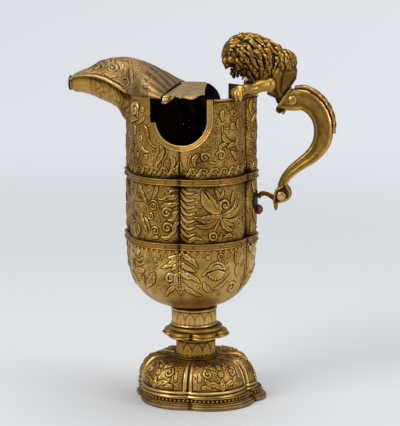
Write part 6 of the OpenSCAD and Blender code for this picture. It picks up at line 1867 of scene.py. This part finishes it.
def dressForeleg(side, name, node):
    hip, elbow, paw = (np.array(legLook[part]) for part in ("hip", "elbow", "paw"))
    where, radii = np.array(legLook["radii"]).T
    line = spline([hip, (hip + elbow) / 2 + [0, 0.4, 1.0], elbow, (elbow + paw) / 2 + [0, 0, 1.2], paw], 22)
    parts = [tube(line, np.interp(np.linspace(0, 1, 22), where, radii), 22), ball(hip, 7.0),
             ball(paw + [-0.6, 1.2, 0.2], 5.4, (1.0, 1.05, 0.95))]
    # the tendons and the muscle that catch the light along the leg
    for lift, out, thick in legLook["tendons"]:
        parts.append(tuft([hip + [-1, out * 0.6, lift + 1.2], elbow + [2.4, out, lift],
                           elbow + [-3, out * 0.8, lift * 0.9], paw + [3.0, out * 0.4, lift * 0.7]],
                          16, thick, 0.1, 0.92, 0.6))
    for swing in legLook["toes"]:
        way = np.array([-math.cos(math.radians(swing)), math.sin(math.radians(swing)), 0])
        tip = paw + way * 7.0 + [0.8, 0.8, -7.0]
        parts.append(tube(spline([paw + way * 3.2 + [0, 0, 1.6], paw + way * 6.6 + [0, 0, -1.6], tip], 10),
                          [2.0, 2.5, 2.8, 2.9, 2.8, 2.7, 2.7, 2.6, 2.2, 1.5], 12))
        parts.append(tube([tip, tip + [0, 0, -1.0] + way * 0.5, tip + [0, 0, -2.0]], [1.1, 0.8, 0.3], 8))
    for k in range(5):
        start = elbow + [3 - k * 1.3, 1.0, -3.4 + 0.3 * k]
        parts.append(tuft([start + [0, 0, 1.5], start, start + [1.8, 0.6, -1.8], start + [3.4, 0.4, -2.2]],
                          8, 1.25, 0.2, 0.94, 1, 8))
    shape = modelled(parts, lionLook["faceCell"])
    shape["spots"] = spots = neighbourMean(shape["spots"], shape["edges"], 2)
    # the paw rests on the rim without sinking into it
    onRim = np.hypot(spots[:, 0], spots[:, 1]) < legLook["onRim"]
    spots[:, 2] = np.where(onRim, np.maximum(spots[:, 2], rimTop + 0.12), spots[:, 2])
    tone, _ = waxTone(shape, 1, base=0.68, near=1.4, wide=0.45)
    shape["spots"] = shape["spots"] * [1, side, 1]
    shape["faces"] = [group[:, ::side] for group in shape["faces"]]
    finishWax(name, node, shape, tone)


dressMane()
dressHead()
dressJaw()
dressTorso()
dressForeleg(-1, "lionForelegNear", "lion_foreleg_near")
dressForeleg(1, "lionForelegFar", "lion_foreleg_far")
print("the lion is modelled")


# Trim of the handle

# Turns points of the joint's own frame, x out of the collar, into place
def atJoint(spots):
    spots = np.asarray(spots, float)
    x = jointAt[0] + spots[..., 0] * jointWay[0] - spots[..., 2] * jointWay[2]
    z = jointAt[2] + spots[..., 0] * jointWay[2] + spots[..., 2] * jointWay[0]
    return np.stack([bodyX + x, spots[..., 1], z], -1)


# The collar is a stadium ring with a scalloped, rubbed edge; its section is out of the joint, outwards, tone
trimLook = {"collarSides": 160, "collarTall": 22, "collarR": 12.4 * 0.54, "scallops": 22, "collar": [
    (-3.1, -3.0, 0.2), (-3.1, 0.2, 0.5), (-2.8, 0.62, 0.75), (-2.3, 0.72, 0.85), (-1.8, 0.5, 0.5),
    (-1.6, 0.1, 0.3), (-1.1, 0.15, 0.5), (-0.6, 0.35, 0.7), (-0.2, 0.1, 0.4), (-0.1, -3.0, 0.2)],
    "lipAt": (0.94, -11.0), "lipR": 4.5, "lipTurns": 1.15, "lipWide": 3.9, "lipThick": 0.9, "coreR": 3.2,
    "core": [(-3.3, 0.6), (-3.1, 1), (3.1, 1), (3.3, 0.6)],
    "pinX": 6.24, "pinSides": 56,  # the pin's end: radius and distance from the middle
    "pin": [(0.3, 7.85), (1.2, 7.8), (2.2, 7.6), (3.0, 7.3), (3.7, 6.9), (4.15, 6.5), (4.3, 6.1)]}


def dressHandleTrim():
    c, s = circle(trimLook["collarSides"])
    r = trimLook["collarR"]
    half = trimLook["collarTall"] / 2 - r
    outY, outZ = r * c, r * s + half * np.sign(s) * np.minimum(1, np.abs(s) * 3)
    turns = np.arange(trimLook["collarSides"]) * tau / trimLook["collarSides"]
    rows = []
    for x, grow, _ in trimLook["collar"]:
        more = grow + 0.16 * np.cos(turns * trimLook["scallops"]) * (grow > 0)
        rows.append(np.stack([np.full(len(c), x), outY * (1 + more / r), outZ * (1 + more / (r + half))], -1))
    tones = np.array(trimLook["collar"])[:, 2:]
    ringsPiece("handleCollar", "handle_collar", atJoint(rows), tones)
    # the rolled lip at the joint's lower end, round a core
    t = np.linspace(0, 1, 60)
    x0, z0 = trimLook["lipAt"]
    c, s = circle(14)
    thick, lip = trimLook["lipThick"], []
    for a, rr in zip(-0.4 + tau * trimLook["lipTurns"] * t, trimLook["lipR"] * (1 - 0.55 * t)):
        out = rr + thick * c
        lip.append(np.stack([x0 + out * math.cos(a), trimLook["lipWide"] * s, z0 + out * math.sin(a)], -1))
    ringsPiece("handleLip", "handle_bar", atJoint(lip), 0.55)
    c, s = circle(24)
    core = [np.stack([x0 + q * trimLook["coreR"] * c, y + 0 * c, z0 + q * trimLook["coreR"] * s], -1)
            for y, q in trimLook["core"]]
    ringsPiece("handleLipCore", "handle_bar", atJoint(core), 0.35)
    c, s = circle(trimLook["pinSides"])
    ends = [(-y, r) for r, y in trimLook["pin"]] + [(y, r) for r, y in trimLook["pin"][::-1]]
    rings = [np.stack([bodyX + jointAt[0] + trimLook["pinX"] + r * c, y + 0 * c, jointAt[2] + r * s], -1)
             for y, r in ends[::-1]]
    ringsPiece("handlePin", "handle_pin", rings, np.array([0.46 + 0.07 * r for y, r in ends[::-1]])[:, None])


backLeafLook = {"first": 3, "last": 156, "steps": 120, "sides": 40, "thick": 3.92, "teeth": 7}


def dressHandleLeaf():
    middle, way, share = barLine(400)
    look, rows, tones = backLeafLook, [], []
    c, s = circle(look["sides"])
    rib = 1 - 0.25 * bell(np.abs(s), 0.35, 0.12) + 0.1 * bell(s, 0, 0.12)
    outside = c > 0
    for k, i in enumerate(np.linspace(look["first"], look["last"], look["steps"]).astype(int)):
        t = k / (look["steps"] - 1)
        swell = math.sin(math.pi * (0.12 + 0.8 * t))
        half = look["thick"] * (0.3 + 0.5 * swell) / 2
        wide = handleLook["wide"] * (0.3 + 0.35 * swell) / 2 * (1 + 0.16 * math.cos(tau * look["teeth"] * t))
        out = handleLook["thick"] * share[i] / 2 + look["thick"] * (0.25 + 0.2 * swell)
        scale = 1 + 0.22 * np.cos(tau * look["teeth"] * t - 3.5 * np.abs(s)) * outside
        rise = np.where(outside, c * rib * scale, -np.abs(c) ** 0.2)
        rows.append(beside(middle[i], way[i], out + half * rise, wide * s))
        tones.append(0.56 + 0.35 * (rib * scale - 0.9) * outside + 0.2 * bell(np.abs(s), 0.95, 0.1))
    ringsPiece("handleLeaf", "handle_leaf", np.array(rows)[:, ::-1], np.array(tones)[:, ::-1])


# The lower scroll's outline in radii, and the ledge round each face: across, outwards, tone
scrollShare = [(-0.66, -1.05), (-0.84, -0.82), (-0.86, -0.30), (-0.76, 0.30), (-0.58, 0.72), (-0.10, 1.00),
               (0.24, 1.24), (0.41, 1.60), (0.50, 1.38), (0.66, 1.06), (0.90, 0.74), (1.02, 0.28),
               (0.96, -0.14), (0.66, -0.48), (0.08, -0.72), (-0.40, -0.88)]
scrollLook = {"points": 160, "roundelR": 4.4, "roundelH": 1.5, "roundelY": 4.5, "face": [
    (4.1, -4.0, 0.42), (4.1, -1.9, 0.40), (4.35, -1.4, 0.75), (4.45, -0.9, 0.85), (4.3, -0.35, 0.75),
    (3.7, 0, 0.62), (0, -0.15, 0.5)]}


def dressScroll():
    x, z, count = handleLook["scrollX"], handleLook["scrollZ"], scrollLook["points"]
    outline = spline(np.array(scrollShare + scrollShare[:1]) * handleLook["scrollR"], count + 1)[:-1]
    middle = outline.mean(0)
    inwards = outline - middle
    size = np.linalg.norm(inwards, axis=1)[:, None]
    rings = []
    for y, grow, tone in scrollLook["face"]:
        ring = middle + inwards * (1 + grow / size)
        rings.append(np.stack([bodyX + x + ring[:, 0], np.full(count, y), z + ring[:, 1]], -1))
    rings += [ring * [1, -1, 1] for ring in rings[-2::-1]]
    tones = [tone for y, grow, tone in scrollLook["face"]]
    ringsPiece("lowerScroll", "lower_scroll", rings, np.array(tones + tones[-2::-1])[:, None])
    parts = [domeAt(np.array([bodyX + x, side * scrollLook["roundelY"], z]), (0, side, 0),
                    scrollLook["roundelR"], scrollLook["roundelH"], 12, 48, 0.86, 0.05) for side in (-1, 1)]
    finishPiece("lowerRoundels", "lower_roundels", *joined(parts))


# The tendril's line in shares of its length and scroll radii; the drop's outline: radius, height, tone
tendrilLook = {"share": [(0.00, -0.25), (0.20, 0.10), (0.45, 0.16), (0.70, -0.02), (1.00, -0.42)], "start": 1.9,
               "end": 0.7, "steps": 60, "sides": 28, "thick": 2.0, "wide": 1.85}
dropLook = {"x": 0.62, "z": 1.16, "sides": 32, "outline": [
    (0.05, -4.4, 0.4), (0.66, -4.2, 0.6), (0.9, -3.6, 0.8), (0.8, -3.2, 0.4), (1.3, -2.2, 0.5),
    (1.75, -1.2, 0.6), (2.15, -0.3, 0.75), (2.2, 0.3, 0.8), (1.9, 1.1, 0.6), (1.3, 1.8, 0.4), (0.05, 2.1, 0.3)]}


def dressTendril():
    look, r, scrollX, scrollZ = tendrilLook, handleLook["scrollR"], handleLook["scrollX"], handleLook["scrollZ"]
    near, far = bodyR + look["start"], scrollX - r * look["end"]
    path = spline([(near + (far - near) * a, scrollZ + r * b) for a, b in look["share"]], look["steps"])
    c, s = circle(look["sides"])
    ridge = 1 + 0.16 * bell(np.abs(c), 1, 0.1) - 0.12 * bell(np.abs(c), 0.5, 0.15)
    rings = [beside(spot, way, look["thick"] * c * ridge, look["wide"] * s * ridge)
             for spot, way in zip(path, wayOf(path))]
    tones = 0.45 + 0.4 * bell(c, 1, 0.25)
    ringsPiece("handleTendril", "handle_tendril", np.array(rings)[:, ::-1], tones[::-1][None, :])
    out, up, tones = np.array(dropLook["outline"]).T
    turnedPiece("scrollDrop", "scroll_drop", bodyX + scrollX - r * dropLook["x"],
                np.stack([out, scrollZ - r * dropLook["z"] + up], axis=1), tones, dropLook["sides"])


plateLeafLook = {"rows": 90, "cols": 60, "half": 10.3, "berryR": 4.68, "outline": [
    (0, 0.05), (0.12, 0.5), (0.3, 0.75), (0.5, 1.0), (0.7, 0.95), (0.9, 0.6), (1.0, 0.06)]}


def dressLeafPlate():
    low, high = boxOf("leaf_plate")
    look = plateLeafLook
    up, across = np.linspace(0, 1, look["rows"])[:, None], np.linspace(-1, 1, look["cols"])[None, :]
    half = np.interp(up, *np.array(look["outline"]).T) * look["half"]
    half = half * (1 - 0.10 * np.abs(np.cos(up * math.pi * 4)))
    y, v = half * across, np.abs(across)
    far, radius = lobeCircle(*bodyLobes, narrowHalf)
    turn = np.arcsin(np.clip(y / (radius + 1.9), -1, 1))
    rise = 0.35 * np.cos((up * 4 - v * 1.4) * tau) * v * (1 - v ** 6) + 0.5 * bell(v, 0, 0.08) - 0.5 * v ** 8
    outer, inner = (around(bodyX + far, reach, turn, low[2] + up * (high[2] - low[2]))
                    for reach in (radius + 1.4 + rise * 0.5, np.full(rise.shape, radius + 0.15)))
    sheetPiece("leafPlate", "leaf_plate", outer, inner, 0.66 + 0.4 * rise)
    # the berry, parted into six cells
    r = look["berryR"]
    at = np.array([bodyX + bodyR + 2.0, 0, low[2] + r * 0.9])
    spots, faces, shade = domeAt(at, (1, 0, 0), r, r, 14, 40, 0.86, 0.02)
    offset = spots - at
    cells = 1 - 0.07 * np.abs(np.sin(np.arctan2(offset[..., 1], offset[..., 2]) * 3)) ** 4
    corners = (at + offset * cells[..., None]).reshape(-1, 3)
    finishPiece("leafBerry", "leaf_berry", corners, faces, shade.ravel())


# Bolt, disc, washer and nut: outlines of radius and height
fastenLook = {"boltR": 2.94, "thread": 0.16, "pitch": 0.35, "threads": 60, "headH": 2.6, "washers": [
    ("bowl_disc", "bowlDisc", 15.0), ("foot_washer", "footWasher", 9.9)], "nutHalf": 5.5}


def dressFastening():
    x, r = ewer["lowerStemX"], fastenLook["boltR"]
    bottom, top = (corner[2] for corner in boxOf("tie_bolt"))
    head = top - fastenLook["headH"]
    outline = [(0.05, bottom), (2.5, bottom)]
    outline += [(r - fastenLook["thread"] * (k % 2), bottom + 0.3 + fastenLook["pitch"] * k)
                for k in range(fastenLook["threads"])]
    outline += [(r, head), (5.9, head + 0.05), (6.0, head + 0.4), (5.8, head + 1.6), (4.4, top - 0.2),
                (2.6, top), (0.05, top)]
    turnedPiece("tieBolt", "tie_bolt", x, outline, 0.5, 48)
    for node, name, r in fastenLook["washers"]:
        bottom, top = (corner[2] for corner in boxOf(node))
        outline = [(3.1, bottom), (r - 0.3, bottom), (r, bottom + 0.3), (r, bottom + (top - bottom) * 0.6),
                   (r - 0.5, top - 0.2), (r - 1.4, top), (r * 0.7, top - 0.15), (r * 0.66, top), (3.6, top),
                   (3.1, top - 0.3)]
        turnedPiece(name, node, x, outline, [0.3, 0.5, 0.7, 0.6, 0.7, 0.5, 0.3, 0.6, 0.6, 0.3], 96)
    bottom, top = (corner[2] for corner in boxOf("tie_nut"))

    def sixSided(turn, z, reach):
        flat = fastenLook["nutHalf"] / np.cos((turn + math.pi / 6) % (math.pi / 3) - math.pi / 6)
        return np.where(reach > 4.2, np.minimum(flat, reach) - reach, 0), 0

    outline = [(3.1, bottom), (5.4, bottom), (6.1, bottom + 0.4), (6.36, bottom + 0.7), (6.36, top - 0.7),
               (6.1, top - 0.4), (5.4, top), (3.1, top)]
    turnedPiece("tieNut", "tie_nut", x, outline, [0.3, 0.5, 0.6, 0.6, 0.6, 0.6, 0.5, 0.3], 96, sixSided)


dressHandleTrim()
dressHandleLeaf()
dressScroll()
dressTendril()
dressLeafPlate()
dressFastening()
print("handle, trim and fastening are done")
